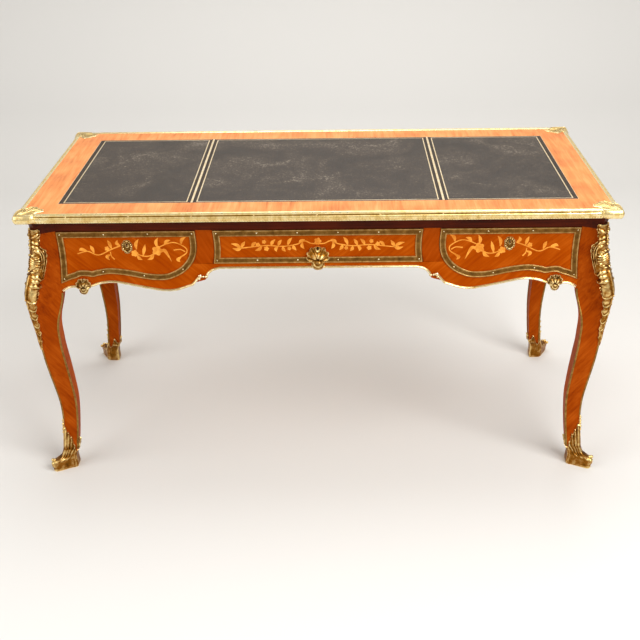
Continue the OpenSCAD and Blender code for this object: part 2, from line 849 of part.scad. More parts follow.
// Lock case in its recess, with the bolt's channel open at the top
module lock(x, drop = 0) {
    bolt_low = drawer_top - bolt_len - 2 * bolt_gap;
    color(steel)
        difference() {
            block([x - lock_w / 2, -front_back - lock_t, drawer_top - lock_h - drop],
                  [x + lock_w / 2, -front_back - lock_back, drawer_top]);
            translate([x - bolt_w / 2 - bolt_gap, -bolt_y - bolt_t / 2 - bolt_gap, bolt_low])
                cube([bolt_w + 2 * bolt_gap, bolt_t + 2 * bolt_gap, bolt_len + 2]);
            translate([x, 0, 0])
                keyhole(rail_t - lock_t / 2, keyhole_z - drop);
        }
}

module bolt(x) {
    color(gilt)
        translate([x - bolt_w / 2, -bolt_y - bolt_t / 2, drawer_top - bolt_len - bolt_gap])
            cube([bolt_w, bolt_t, bolt_len]);
}

lobes = 12;
escutcheon_steps = 48;
module escutcheon_plate() {
    rim = [
        for (k = [0:escutcheon_steps - 1])
            let (a = 360 * k / escutcheon_steps, r = 1 + 0.05 * cos(lobes * a))
            [escutcheon_w / 2 / 1.05 * r * cos(a), escutcheon_h / 2 / 1.05 * r * sin(a)]
    ];
    color(gilt)
        difference() {
            union() {
                panel_y(-face_y - escutcheon_t, -face_y)
                    translate([0, keyhole_z - plate_drop])
                        polygon(rim);
                panel_y(-face_y - escutcheon_t - 1, -face_y)
                    translate([0, keyhole_z])
                        polygon([for (p = rim) p * 0.5]);
            }
            keyhole(0);
        }
}

module escutcheon(x) {
    translate([x, 0, 0])
        escutcheon_plate();
}

// Fan-shaped shell over a small bulb, standing on the plane y = 0 and facing -Y.
// The fan's foot is at the origin.
fan_steps = 20;
fan_rings = 5;
fan_flutes = 5;
fan_spread = 100;
bulb_share = 0.5;
function fan_point(a, t, w, h, d) =
    let (ripple = cos(fan_flutes * 180 * a / fan_spread + 180 * (fan_flutes % 2)),
         reach = t * (1 + 0.06 * ripple))
    [w / 2 * sin(a) / sin(fan_spread) * reach * 1.02,
     -d * (1 - 0.75 * t * t) * (1 + 0.12 * t * ripple) * (t < 1 ? 1 : 0.4),
     h * (cos(a) * reach + 0.12 * t)];

module shell(w, h, d) {
    columns = [for (j = [0:fan_steps]) mix(-fan_spread, fan_spread, j / fan_steps)];
    front = [for (i = [0:fan_rings], a = columns) fan_point(a, mix(0.12, 1, i / fan_rings), w, h, d)];
    n = fan_steps + 1;
    m = fan_rings + 1;
    back = [for (p = front) [p[0], 0, p[2]]];
    polyhedron(
        points = concat(front, back),
        faces = concat(
            [for (i = [0:m - 2], j = [0:n - 2]) each quad(i * n + j, (i + 1) * n + j, (i + 1) * n + j + 1, i * n + j + 1)],
            [for (i = [0:m - 2], j = [0:n - 2])
                each quad(n * m + i * n + j + 1, n * m + (i + 1) * n + j + 1, n * m + (i + 1) * n + j, n * m + i * n + j)],
            [for (j = [0:n - 2]) each quad((m - 1) * n + j, n * m + (m - 1) * n + j,
                                           n * m + (m - 1) * n + j + 1, (m - 1) * n + j + 1)],
            [for (j = [0:n - 2]) each quad(j + 1, n * m + j + 1, n * m + j, j)],
            [for (i = [0:m - 2]) each quad(i * n, n * m + i * n, n * m + (i + 1) * n, (i + 1) * n)],
            [for (i = [0:m - 2]) each quad((i + 1) * n + n - 1, n * m + (i + 1) * n + n - 1,
                                           n * m + i * n + n - 1, i * n + n - 1)]
        )
    );
}
function quad(a, b, c, d) = [[a, b, c], [a, c, d]];

// Bulb under the fan: half rings from its foot to its neck
bulb_levels = [[-0.48, 0.3, 0.35], [-0.42, 0.5, 0.6], [-0.3, 0.6, 0.8], [-0.16, 0.62, 0.85], [-0.04, 0.5, 0.9], [0.06, 0.36, 0.8]];
bulb_steps = 10;
module bulb(w, h, d) {
    loft([
        for (q = bulb_levels)
            concat(
                [for (k = [0:bulb_steps])
                    let (a = 180 + 180 * k / bulb_steps)
                    [w / 2 * q[1] * cos(a), d * q[2] * sin(a), h * q[0]]]
            )
    ]);
}

pull_stand = moulding_t + 0.6;
pull_foot = centre_bottom + 10;
boss_r = 4;
module shell_pull() {
    color(gilt)
        difference() {
            union() {
                translate([0, -face_y - pull_stand, pull_foot]) {
                    shell(shell_w, shell_h, shell_proud);
                    bulb(shell_w, bulb_h, shell_proud);
                }
                translate([0, -face_y, pull_foot + shell_h * 0.45])
                    rotate([90, 0, 0])
                        cylinder(r = boss_r, h = pull_stand + 1);
            }
            keyhole(0, keyhole_z - centre_key_drop);
        }
}

// Brass mouldings on the aprons

// Band of width w above an open path that runs towards -X
function band(path, w) = concat(path, reversed(shift_path(path, -w)));

moulding_tip = [[37, -20], [26, -32], [17, -43]];
side_run = smooth(concat(
    [for (p = arch_outer) [leg_face_x - p[0] * arch_run, knee_z - p[1]]],
    [for (i = [0:4]) [stile_x + arch_inner[i][0] * arch_run, knee_z - arch_inner[i][1]]],
    [for (p = moulding_tip) [stile_x + p[0], knee_z - p[1]]]
), 3);
// Balls at the ends of the runs: place from the stile's middle and the knee's level, and radius
tip_balls = [[17, 48, 6], [8.5, 45.5, 3.6], [0.5, 45, 4.5]];
centre_start = 6;
centre_run = [for (i = [centre_start:len(centre_arch) - 1]) centre_arch[i]];
end_gap = 0.3;

module apron_run() {
    union() {
        for (side = [0, 1])
            mirror([side, 0, 0]) {
                panel_y(-face_y - moulding_t, -face_y)
                    intersection() {
                        polygon(band(side_run, moulding_w));
                        translate([0, knee_z - 1])
                            square([leg_face_x - end_gap, knee_drop]);
                    }
                for (b = tip_balls)
                    translate([stile_x + b[0], -face_y, knee_z + b[1]])
                        rotate([90, 0, 0])
                            cylinder(r = b[2], h = moulding_t + 0.5);
            }
        panel_y(-face_y - moulding_t, -face_y)
            polygon(band(concat(centre_run, reversed([for (p = centre_run) [-p[0], p[1]]])), moulding_w));
    }
}

module apron_moulding_front() {
    color(gilt)
        apron_run();
}

module apron_moulding_back() {
    color(gilt)
        turned(true)
            apron_run();
}

module apron_moulding_sides() {
    color(gilt)
        for (side = [-1, 1])
            translate([side > 0 ? face_x : -face_x - moulding_t, 0, 0])
                rotate([90, 0, 90])
                    linear_extrude(moulding_t)
                        intersection() {
                            polygon(band(reversed(side_line), moulding_w));
                            translate([end_gap - leg_face_y, knee_z - 1])
                                square([2 * (leg_face_y - end_gap), knee_drop]);
                        }
}

shell_x = leg_face_x - apron_shell_inset;
apron_shell_z = knee_z + 18;
module apron_shells() {
    color(gilt)
        for (back = [false, true], side = [-1, 1])
            turned(back)
                translate([side * shell_x, -face_y, apron_shell_z]) {
                    translate([0, -pull_stand, 0])
                        scale(apron_shell_scale) {
                            shell(shell_w, shell_h, shell_proud);
                            bulb(shell_w, bulb_h, shell_proud);
                        }
                    translate([0, 0, 9])
                        rotate([90, 0, 0])
                            cylinder(r = boss_r, h = pull_stand + 1);
                }
}

// Frames and escutcheons that dress the back and the sides
side_panel_rise = 28;
side_panel_margin = 16;
side_panel_end_rise = 45;
side_panel_turn = 22;
side_panel_half = leg_face_y - side_panel_margin;
side_panel_low = concat(
    [[-side_panel_half, knee_z + side_panel_end_rise]],
    [for (p = side_line) if (abs(p[0]) < side_panel_half - side_panel_turn) [p[0], p[1] + side_panel_rise]],
    [[side_panel_half, knee_z + side_panel_end_rise]]
);
side_panel_top = [[side_panel_half, drawer_top], [-side_panel_half, drawer_top]];
side_panel = [
    side_panel_low, [side_panel_low[len(side_panel_low) - 1], side_panel_top[0]],
    side_panel_top, [side_panel_top[1], side_panel_low[0]]
];

module dummy_frames() {
    turned(true) {
        brass_frame(side_stretches);
        mirror([1, 0, 0])
            brass_frame(side_stretches);
        brass_frame(centre_stretches);
    }
    for (turn = [90, 270])
        rotate([0, 0, turn])
            translate([0, -side_shift, 0])
                brass_frame(side_panel);
}

module dummy_escutcheons() {
    turned(true)
        for (x = [-escutcheon_x, 0, escutcheon_x])
            escutcheon(x);
}

// Brass on the legs

// Knee mount: rows of place along the leg, how far it reaches over each face, share of its
// thickness and, over the cavetto's foot, the space under it
over_foot = 3.6;
knee_reach = [
    [1.68, 0.12, 0.5], [1.77, 0.3, 0.6], [1.83, 0.3, 0.75], [1.88, 0.36, 0.85], [1.93, 0.42, 0.9], [2, 0.46, 1],
    [2.16, 0.45, 1], [2.3, 0.46, 1], [2.45, 0.48, 1], [2.62, 0.5, 0.85], [2.74, 0.42, 0.75], [2.8, 0.24, 0.7],
    [2.95, 0.18, 0.6], [2.98, 0.18, 0.6, over_foot], [3.09, 0.16, 0.5, over_foot]
];
mount_steps = 5;
mount_edge_t = 1.6;
mount_gap = 0.8;
function station_value(s, k) = lookup(s, [for (r = leg_stations) [r[0], r[k]]]);
function row_at(s) = [s, station_value(s, 1), station_value(s, 2), station_value(s, 3)];
function mount_normal(r, t) =
    let (
        e = min(t + 0.05, 1), d = unit(on_face(r, e) - on_face(r, e - 0.05)),
        n = [-d[1], d[0]], m = n + unit([1, 1])
    )
    t < 1 ? n : m * 2 / (m * m);
function mount_front(r, reach, k, base, lift) =
    let (t = mix(1 - reach, 1, k / mount_steps),
         rise = base + lift * sin(90 * k / mount_steps))
    on_face(r, t) + mount_normal(r, t) * rise;
function mount_ridge(r, rise) = corner_point(r) - [1, 1] * corner_w(r) / 2 + unit([1, 1]) * rise;
function mount_half(r, q, base, lift) = [
    for (k = [0:mount_steps]) mount_front(r, q[1], k, base, lift)
];
function mount_side(r, q, base, lift) =
    let (flat = [r[0], r[1], r[2], r[3]],
         half = [for (k = [0:mount_steps]) mount_flat(r, q[1], k, base, lift)])
    [for (p = half) across(p)];
function mount_flat(r, reach, k, base, lift) =
    let (t = mix(1 - reach, 1, k / mount_steps),
         rise = base + lift * sin(90 * k / mount_steps),
         p = across(on_side(r, t)),
         n = mount_normal(r, t))
    p + n * rise;

// Brass that wraps a leg's outer arris: rows of place, reach over each face and share of the thickness
module wrap(rows, thick) {
    loft([
        for (q = rows)
            let (
                r = row_at(q[0]), lift = (thick - mount_edge_t) * q[2],
                under = len(q) > 3 ? q[3] : mount_gap, edge = mount_edge_t + under - mount_gap
            )
            at_height(
                concat(
                    mount_side(r, q, edge, lift),
                    [mount_ridge(r, edge + lift)],
                    reversed(mount_half(r, q, edge, lift)),
                    mount_half(r, q, under, 0),
                    [mount_ridge(r, under)],
                    reversed(mount_side(r, q, under, 0))
                ),
                leg_z(q[0])
            )
    ]);
}

module knee_mount(sx, sy) {
    color(gilt)
        at_corner(sx, sy)
            wrap(knee_reach, knee_mount_t);
}

module knee_mount_front_left() {
    knee_mount(-1, -1);
}

module knee_mount_front_right() {
    knee_mount(1, -1);
}

module knee_mount_back_left() {
    knee_mount(-1, 1);
}

module knee_mount_back_right() {
    knee_mount(1, 1);
}

// Sabot: a cast shoe with a scrolled toe and leaves that climb the arrises
sabot_levels = 12;
toe_line = [[0, 0.72], [0.25, 0.9], [0.5, 1], [0.75, 0.97], [1, 0.5], [1.2, 0.12], [1.4, 0]];
function toe_at(z) = toe_reach * lookup(z / toe_h, toe_line);
function sabot_ring(z) =
    let (t = z / sabot_h, ring = grow(leg_ring(mix(foot_row, collar_row, t)), mix(4.5, 3, t)),
         c = corner_point(mix(foot_row, collar_row, t)))
    [for (p = ring)
        let (near = ease(1.1 - norm(p - c) / 30))
        concat(p + [1, 1] * toe_at(z) * near * 0.9, [z])];

// Leaf that climbs the outer arris from the collar
finial_reach = [[1.001, 0.5, 1], [1.05, 0.46, 1], [1.13, 0.28, 0.9], [1.2, 0.14, 0.6]];

module sabot(sx, sy) {
    color(gilt)
        at_corner(sx, sy)
            union() {
                difference() {
                    loft([for (k = [0:sabot_levels]) sabot_ring(sabot_h * k / sabot_levels)]);
                    tenon(sabot_h + 1);
                }
                wrap(finial_reach, finial_t);
            }
}

module sabot_front_left() {
    sabot(-1, -1);
}

module sabot_front_right() {
    sabot(1, -1);
}

module sabot_back_left() {
    sabot(-1, 1);
}

module sabot_back_right() {
    sabot(1, 1);
}

// Drawers by name

module left_drawer_front() {
    mirror([1, 0, 0])
        drawer_front(side_outline, escutcheon_x);
}

module left_drawer_box() {
    mirror([1, 0, 0])
        drawer_box(side_box, side_box_low);
}

module left_drawer_bottom() {
    mirror([1, 0, 0])
        drawer_bottom(side_box, side_box_low);
}

module left_drawer_frame() {
    mirror([1, 0, 0])
        brass_frame(side_stretches);
}

module left_escutcheon() {
    escutcheon(-escutcheon_x);
}

module left_lock() {
    lock(-escutcheon_x);
}

module left_bolt() {
    bolt(-escutcheon_x);
}

module centre_drawer_front() {
    drawer_front(centre_outline, 0, centre_key_drop);
}

module centre_drawer_box() {
    drawer_box(centre_box, centre_box_low);
}

module centre_drawer_bottom() {
    drawer_bottom(centre_box, centre_box_low);
}

module centre_drawer_frame() {
    brass_frame(centre_stretches);
}

module centre_lock() {
    lock(0, centre_key_drop);
}

module centre_bolt() {
    bolt(0);
}

module right_drawer_front() {
    drawer_front(side_outline, escutcheon_x);
}

module right_drawer_box() {
    drawer_box(side_box, side_box_low);
}

module right_drawer_bottom() {
    drawer_bottom(side_box, side_box_low);
}

module right_drawer_frame() {
    brass_frame(side_stretches);
}

module right_escutcheon() {
    escutcheon(escutcheon_x);
}

module right_lock() {
    lock(escutcheon_x);
}

module right_bolt() {
    bolt(escutcheon_x);
}

top_board();
top_border();
leather_left();
leather_centre();
leather_right();
edge_moulding_front();
edge_moulding_back();
edge_moulding_left();
edge_moulding_right();
corner_mount_front_left();
corner_mount_front_right();
corner_mount_back_left();
corner_mount_back_right();
cavetto_frame();
leg_front_left();
leg_front_right();
leg_back_left();
leg_back_right();
front_apron();
back_apron();
side_apron_left();
side_apron_right();
drawer_partitions();
drawer_runners();
knee_mount_front_left();
knee_mount_front_right();
knee_mount_back_left();
knee_mount_back_right();
sabot_front_left();
sabot_front_right();
sabot_back_left();
sabot_back_right();
leg_filets();
apron_moulding_front();
apron_moulding_back();
apron_moulding_sides();
apron_shells();
dummy_frames();
dummy_escutcheons();
left_drawer_front();
left_drawer_box();
left_drawer_bottom();
left_drawer_frame();
left_escutcheon();
left_lock();
left_bolt();
centre_drawer_front();
centre_drawer_box();
centre_drawer_bottom();
centre_drawer_frame();
shell_pull();
centre_lock();
centre_bolt();
right_drawer_front();
right_drawer_box();
right_drawer_bottom();
right_drawer_frame();
right_escutcheon();
right_lock();
right_bolt();
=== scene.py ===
"""Looks of a flat writing table: tulipwood veneer with marquetry, tooled leather and gilt mounts."""

import math

import bmesh
import bpy
import numpy as np
from bpy.props import FloatProperty, FloatVectorProperty, PointerProperty
from mathutils import Matrix, Vector


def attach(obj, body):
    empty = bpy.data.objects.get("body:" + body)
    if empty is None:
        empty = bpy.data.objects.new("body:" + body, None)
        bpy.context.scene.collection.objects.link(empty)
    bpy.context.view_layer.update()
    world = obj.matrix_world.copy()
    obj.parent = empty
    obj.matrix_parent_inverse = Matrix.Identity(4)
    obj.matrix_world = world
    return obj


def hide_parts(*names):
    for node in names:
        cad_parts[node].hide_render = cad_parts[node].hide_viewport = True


bl_info = {
    "name": "Flat writing table",
    "version": (1, 0, 0),
    "blender": (4, 5, 0),
    "location": "3D View > Sidebar > Writing table",
    "description": "Dresses the frame of a writing table with veneer, leather and gilt mounts",
    "category": "Object",
}

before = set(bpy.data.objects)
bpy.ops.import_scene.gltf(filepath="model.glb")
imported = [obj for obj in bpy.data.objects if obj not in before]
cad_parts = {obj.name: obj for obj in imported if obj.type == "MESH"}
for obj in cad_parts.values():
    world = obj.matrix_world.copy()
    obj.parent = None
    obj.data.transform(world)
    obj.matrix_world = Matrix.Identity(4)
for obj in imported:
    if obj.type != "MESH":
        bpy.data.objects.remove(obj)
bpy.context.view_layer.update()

# Sizes in millimetres that the frame also uses
DESK_W, DESK_D, DESK_H = 1564.0, 796.0, 790.0
EDGE_H, EDGE_T = 27.0, 12.0
WOOD_TOP, LEATHER_TOP = 787.5, 787.0
BORDER_W, DIVIDER_X, DIVIDER_W = 78.0, 335.0, 12.0
TOP_BOTTOM = DESK_H - EDGE_H
TOP_X, TOP_Y = DESK_W / 2 - EDGE_T, DESK_D / 2 - EDGE_T
LEATHER_X, LEATHER_Y = TOP_X - BORDER_W, TOP_Y - BORDER_W
FACE_Y = 345.0
BODY_TOP, KNEE_Z, SABOT_H = 724.0, 545.0, 60.0
DRAWER_TOP, SIDE_BOTTOM, CENTRE_BOTTOM, ARCH_Z = 722.0, 574.0, 628.0, 612.0
LEG_CORNER, LEG_FACE_X = 757.0, 698.0
# What a point's x and y differ by where it swaps the front face for the side face
SIDE_SHIFT = 384.0
DRAWER_IN, DRAWER_OUT, CENTRE_HALF = 324.0, 697.0, 280.0
STILE_X = 302.0
END_BOW = 4.0
ESCUTCHEON_X, KEYHOLE_Z, CENTRE_KEY_Z = 510.0, 685.0, 671.0
APRON_SHELL_X, APRON_SHELL_Z, APRON_SHELL_SIZE = 637.0, 543.0, 0.69
CORNER_LEN = 47.0
CORNERS = {"front_left": (-1, -1), "front_right": (1, -1), "back_left": (-1, 1), "back_right": (1, 1)}

# Camera solved from the photograph: pixels, degrees and metres
PHOTO_PX, FOCAL_PX = 640, 1120
CAMERA_YAW, CAMERA_PITCH, CAMERA_ROLL = 1.110, 24.827, -0.932
CAMERA_AT = (0.0568, -3.1376, 1.7498)
FLOOR_LINE = [(-6, 0), (2.2, 0), (3.0, 0.2), (3.5, 0.8), (3.6, 1.6), (3.6, 6)]
FLOOR_HALF = 9


def linear(colour):
    """sRGB hex such as "c89a45" to the linear red, green, blue and alpha that Blender works in."""
    parts = [int(colour[i:i + 2], 16) / 255 for i in (0, 2, 4)]
    return tuple([c / 12.92 if c <= 0.04045 else ((c + 0.055) / 1.055) ** 2.4 for c in parts] + [1.0])


# Curves and outlines


def curve(points, steps):
    """Catmull-Rom curve through the points, with some steps between two of them."""
    p = np.array(points, float)
    out = []
    for i in range(len(p) - 1):
        a, b, c, d = p[max(i - 1, 0)], p[i], p[i + 1], p[min(i + 2, len(p) - 1)]
        for k in range(steps):
            t = k / steps
            out.append(0.5 * (2 * b + (c - a) * t + (2 * a - 5 * b + 4 * c - d) * t * t
                              + (3 * b - a - 3 * c + d) * t ** 3))
    out.append(p[-1])
    return np.array(out)


def lefts(path, closed=False):
    """Mitred normals to the left of a path in its plane."""
    p = np.asarray(path, float)
    d = np.roll(p, -1, 0) - p if closed else np.diff(p, axis=0)
    n = np.stack([-d[:, 1], d[:, 0]], 1) / np.maximum(np.linalg.norm(d, axis=1), 1e-9)[:, None]
    a = np.roll(n, 1, 0) if closed else np.vstack([n[:1], n])
    b = n if closed else np.vstack([n, n[-1:]])
    return (a + b) / np.maximum(1 + (a * b).sum(1), 0.3)[:, None]


def shifted(path, distance):
    """A path moved to its left."""
    return np.asarray(path, float) + lefts(path) * distance


def run_along(path):
    """Length along a path up to each of its points."""
    return np.concatenate([[0], np.cumsum(np.linalg.norm(np.diff(path, axis=0), axis=1))])


def points_along(path, at):
    """Points of a path at lengths along it."""
    run = run_along(path)
    return np.stack([np.interp(at, run, path[:, k]) for k in range(path.shape[1])], 1)


def resampled(path, count):
    """The same path with a given number of evenly spaced points."""
    p = np.asarray(path, float)
    return points_along(p, np.linspace(0, run_along(p)[-1], count))


def crossing(first, second):
    """Cuts the end of one path and the start of the next where they cross."""
    a = np.vstack([first, first[-1] + (first[-1] - first[-2]) * 60])
    b = np.vstack([second[0] - (second[1] - second[0]) * 60, second])
    for i in range(len(a) - 2, -1, -1):
        for j in range(len(b) - 1):
            r, s = a[i + 1] - a[i], b[j + 1] - b[j]
            det = r[0] * s[1] - r[1] * s[0]
            if abs(det) < 1e-9:
                continue
            q = b[j] - a[i]
            t, u = (q[0] * s[1] - q[1] * s[0]) / det, (q[0] * r[1] - q[1] * r[0]) / det
            if -1e-6 <= t <= 1 + 1e-6 and -1e-6 <= u <= 1 + 1e-6:
                x = a[i] + r * t
                return np.vstack([a[:i + 1], x]), np.vstack([x, b[j + 1:]])
    return first, second


def inset_stretches(stretches, distance):
    """Stretches of a closed outline drawn in by a distance and cut where they cross."""
    parts = [shifted(s, distance) for s in stretches]
    for i in range(len(parts)):
        j = (i + 1) % len(parts)
        parts[i], parts[j] = crossing(parts[i], parts[j])
    return parts


def inset_loop(stretches, distance, counts):
    """Closed outline drawn in by a distance, with the same number of points for every distance."""
    parts = inset_stretches(stretches, distance)
    return np.vstack([resampled(p, n + 1)[:-1] for p, n in zip(parts, counts)])


def bowed_end(x, low, high, steps=12):
    """Straight end of a drawer front that bows in a little."""
    shares = [k / steps for k in range(steps + 1)]
    return np.array([[x - END_BOW * math.sin(math.pi * t), low + (high - low) * t] for t in shares])


def flipped(path):
    """Mirror image of a path, run the other way."""
    return np.asarray(path, float)[::-1] * [-1, 1]


def circle(count):
    """Cosine and sine of evenly spaced angles round a circle."""
    a = np.linspace(0, 2 * math.pi, count, endpoint=False)
    return np.stack([np.cos(a), np.sin(a)], 1)


SIDE_EDGE = curve(
    [(DRAWER_IN + a, DRAWER_TOP - b) for a, b in
     ((3, 0), (0, 40), (4, 70), (15, 94), (36, 117), (64, 133), (92, 140), (135, 138), (187, 127))]
    + [(DRAWER_OUT - a, DRAWER_TOP - b) for a, b in
       ((138, 121), (106, 125), (88, 129.5), (72, 127), (55, 127), (43, 132), (24, 138), (0, 148))], 6)
SIDE_END = bowed_end(DRAWER_OUT, SIDE_BOTTOM, DRAWER_TOP)
SIDE_STRETCHES = [SIDE_END, np.array([SIDE_END[-1], SIDE_EDGE[0]]), SIDE_EDGE]
CENTRE_END = bowed_end(CENTRE_HALF, CENTRE_BOTTOM, DRAWER_TOP)
CENTRE_FAR = flipped(CENTRE_END)
CENTRE_STRETCHES = [CENTRE_END, np.array([CENTRE_END[-1], CENTRE_FAR[0]]),
                    CENTRE_FAR, np.array([CENTRE_FAR[-1], CENTRE_END[0]])]
ARCH_OUTER = ((0, 0), (13, 10), (30, 16), (62, 15), (84, 18), (101, 24), (118, 28), (139, 29.5), (161, 27))
ARCH_INNER = ((185, 16), (146, 8), (116, 3), (84, 4.5), (51, 14.5))
ARCH_TIP = ((37, 20), (26, 32), (17, 43))
CUSP = ((13, 34.5), (3, 31), (-2, 24), (-9, 13), (-20, 5), (-38, 0))
SIDE_LINE = curve([(0, 597), (90, 594), (150, 586), (205, 574), (250, 566), (282, 563), (302, 556),
                   (314, 545)], 6)
SIDE_LINE = np.vstack([flipped(SIDE_LINE), SIDE_LINE[1:]])
PANEL_HALF, PANEL_LOW = 298.0, 590.0
PANEL_CORNERS = [(PANEL_HALF, PANEL_LOW), (PANEL_HALF, DRAWER_TOP), (-PANEL_HALF, DRAWER_TOP),
                 (-PANEL_HALF, PANEL_LOW)]
PANEL_SPAN, PANEL_RISE = 276, 28
PANEL_EDGE = np.vstack([[PANEL_CORNERS[3]],
                        SIDE_LINE[np.abs(SIDE_LINE[:, 0]) < PANEL_SPAN] + [0, PANEL_RISE],
                        [PANEL_CORNERS[0]]])
PANEL_STRETCHES = [PANEL_EDGE] + [np.array(PANEL_CORNERS[k:k + 2]) for k in range(3)]


# Leg surfaces


# Place along the leg, bulge of its corner, width share and flare of its faces
STATIONS = np.array([
    (0, -11, 0.61, 3), (1, -14.5, 0.69, 3), (1.09, -17, 0.73, 3), (1.2, -19.5, 0.76, 3),
    (1.31, -17.5, 0.83, 3), (1.41, -11, 0.9, 3), (1.5, -4, 0.96, 3.5), (1.6, 3, 1, 4),
    (1.68, 7, 1, 4), (1.77, 9.5, 1, 4), (1.83, 13.5, 1, 4), (1.88, 17.5, 1, 4),
    (1.93, 20.5, 1, 4), (2, 22, 1, 4), (2.16, 19, 1, 4), (2.3, 13, 1, 4),
    (2.45, 7, 1, 4), (2.62, 3, 1, 4), (2.8, 1, 1, 4), (3, 0, 1, 4),
])
# Heights of the leg's whole places: sole, collar, knee, top, and as far again above it
PLACES, HEIGHTS = (0, 1, 2, 3, 4), (0, SABOT_H, KNEE_Z, BODY_TOP, 2 * BODY_TOP - KNEE_Z)
SHANK_W, FLARE_START, FILET_W = 54.0, 1.755, 3.2
FILET_PINS = (1.12, 1.92, 6)
KNEE_TIP, KNEE_CORNER_W, FACE_SWING, FACE_RISE = 1.68, 12.0, 0.5, 0.35


def ease(t):
    """Smooth step from 0 to 1."""
    t = np.clip(t, 0, 1)
    return t * t * (3 - 2 * t)


def station(s):
    """Bulge, width share and flare at a place along the leg, on a smooth curve through the stations."""
    x = STATIONS[:, 0]
    i = int(np.clip(np.searchsorted(x, s) - 1, 0, len(x) - 2))
    h = x[i + 1] - x[i]
    t = (s - x[i]) / h
    slopes = np.gradient(STATIONS[:, 1:], x, axis=0)
    a, b, m, n = STATIONS[i, 1:], STATIONS[i + 1, 1:], slopes[i] * h, slopes[i + 1] * h
    return (a * (2 * t ** 3 - 3 * t * t + 1) + m * (t ** 3 - 2 * t * t + t)
            + b * (3 * t * t - 2 * t ** 3) + n * (t ** 3 - t * t))


def leg_z(s):
    """Height of a place along the leg."""
    return np.interp(s, PLACES, HEIGHTS)


def place_at(z):
    """Place along the leg of a height."""
    return float(np.interp(z, HEIGHTS, PLACES))


def bow_at(z):
    """Bow of the drawer's end that the leg follows on the front."""
    share = (z - SIDE_BOTTOM) / (DRAWER_TOP - SIDE_BOTTOM)
    return END_BOW * math.sin(math.pi * share) if 0 < share < 1 else 0.0


def leg_points(s, bowed=True):
    """Inner and outer end of the front face at a place along the leg, in plan."""
    bulge, share, flare = station(min(s, 3))
    t = float(ease((s - FLARE_START) / (2 - FLARE_START)))
    c = LEG_CORNER + bulge
    fx = (c - SHANK_W * share) * (1 - t) + LEG_FACE_X * t
    fy = (c - SIDE_SHIFT - flare) * (1 - t) + FACE_Y * t
    k = float(ease((s - KNEE_TIP) / (2 - KNEE_TIP)))
    blunt = FILET_W * (1 - k) + KNEE_CORNER_W * k
    return np.array([fx - (bow_at(leg_z(s)) if bowed else 0), fy]), np.array([c - blunt, c - SIDE_SHIFT])


def face_at(s, t, bowed=True):
    """Points of the front face for shares t from the inner end to the outer one."""
    f, e = leg_points(s, bowed)
    q = f + (e - f) * [FACE_SWING, FACE_RISE]
    t = np.asarray(t, float)[:, None]
    return f * (1 - t) ** 2 + q * 2 * t * (1 - t) + e * t * t


def across(p):
    """The same point on the side face."""
    p = np.asarray(p, float)
    return np.stack([p[..., 1] + SIDE_SHIFT, p[..., 0] - SIDE_SHIFT], -1)


def arris_share(s, width):
    """Share of the front face that the chamfer of the inner arris takes."""
    f, e = leg_points(s)
    return width / np.linalg.norm(e - f) * 0.8


def leg_ring(s, steps=14):
    """Closed section of the leg, counterclockwise from its inner arris."""
    f, _ = leg_points(s)
    flat, _ = leg_points(s, False)
    a = FILET_W if s <= 2 else 0.3
    t = np.linspace(arris_share(s, a), 1, steps)
    return np.vstack([[f[0], flat[0] - SIDE_SHIFT], across(flat) - [a, 0], across(face_at(s, t, False)),
                      face_at(s, t)[::-1], f - [0, a]])


def wrap_at(s, reach):
    """Points on the leg's outer corner, and the way out there, at signed distances from its ridge.
    The distance is positive on the front face."""
    front = face_at(s, np.linspace(1, 0, 24))
    side = across(face_at(s, np.linspace(1, 0, 24), False))
    mid = (front[0] + side[0]) / 2

    def places(d):
        """Points at signed distances from the ridge."""
        out = np.zeros((len(d), 2))
        for path, chosen in ((front, d >= 0), (side, d < 0)):
            out[chosen] = points_along(np.vstack([mid, path]), np.abs(d[chosen]))
        return out

    d = np.asarray(reach, float)
    smooth = sum(places(d + o) for o in (-3, -1.5, 0, 1.5, 3)) / 5
    way = places(d + 4) - places(d - 4)
    way /= np.linalg.norm(way, axis=1)[:, None]
    return smooth, np.stack([way[:, 1], -way[:, 0]], 1)


# Meshes


def closed_tube(rows, cap_ends=True):
    """Vertices and faces of a skin over closed rings, with its ends closed."""
    n, m = len(rows[0]), len(rows)
    faces = [(i * n + j, i * n + (j + 1) % n, (i + 1) * n + (j + 1) % n, (i + 1) * n + j)
             for i in range(m - 1) for j in range(n)]
    if cap_ends:
        faces += [tuple(range(n))[::-1], tuple(range((m - 1) * n, m * n))]
    return [tuple(v) for r in rows for v in r], faces


def joined(parts):
    """Several pairs of vertices and faces as one."""
    verts, faces = [], []
    for v, f in parts:
        faces += [tuple(k + len(verts) for k in face) for face in f]
        verts += list(v)
    return verts, faces


def turned(part, sx=1, sy=1, turn=0):
    """A part mirrored onto another corner, or turned about the upright axis by quarter turns."""
    verts, faces = part
    v = np.array(verts, float) * [sx, sy, 1]
    c, s = (round(math.cos(turn * math.pi / 2)), round(math.sin(turn * math.pi / 2)))
    v = np.stack([v[:, 0] * c - v[:, 1] * s, v[:, 0] * s + v[:, 1] * c, v[:, 2]], 1)
    return [tuple(p) for p in v], [f[::-1] for f in faces] if sx * sy < 0 else faces


def moved(part, dx=0, dy=0, dz=0):
    """A part moved."""
    return [(x + dx, y + dy, z + dz) for x, y, z in part[0]], part[1]


def back_and_sides(backs, flank):
    """Front parts turned onto the back, and one turned onto both sides, as one."""
    sides = [turned(moved(flank, dy=-SIDE_SHIFT), turn=quarters) for quarters in (1, 3)]
    return joined([turned(part, turn=2) for part in backs] + sides)


def mesh_from(name, part):
    """Mesh from vertices in millimetres and faces."""
    mesh = bpy.data.meshes.new(name)
    mesh.from_pydata([(x / 1000, y / 1000, z / 1000) for x, y, z in part[0]], [], part[1])
    return mesh


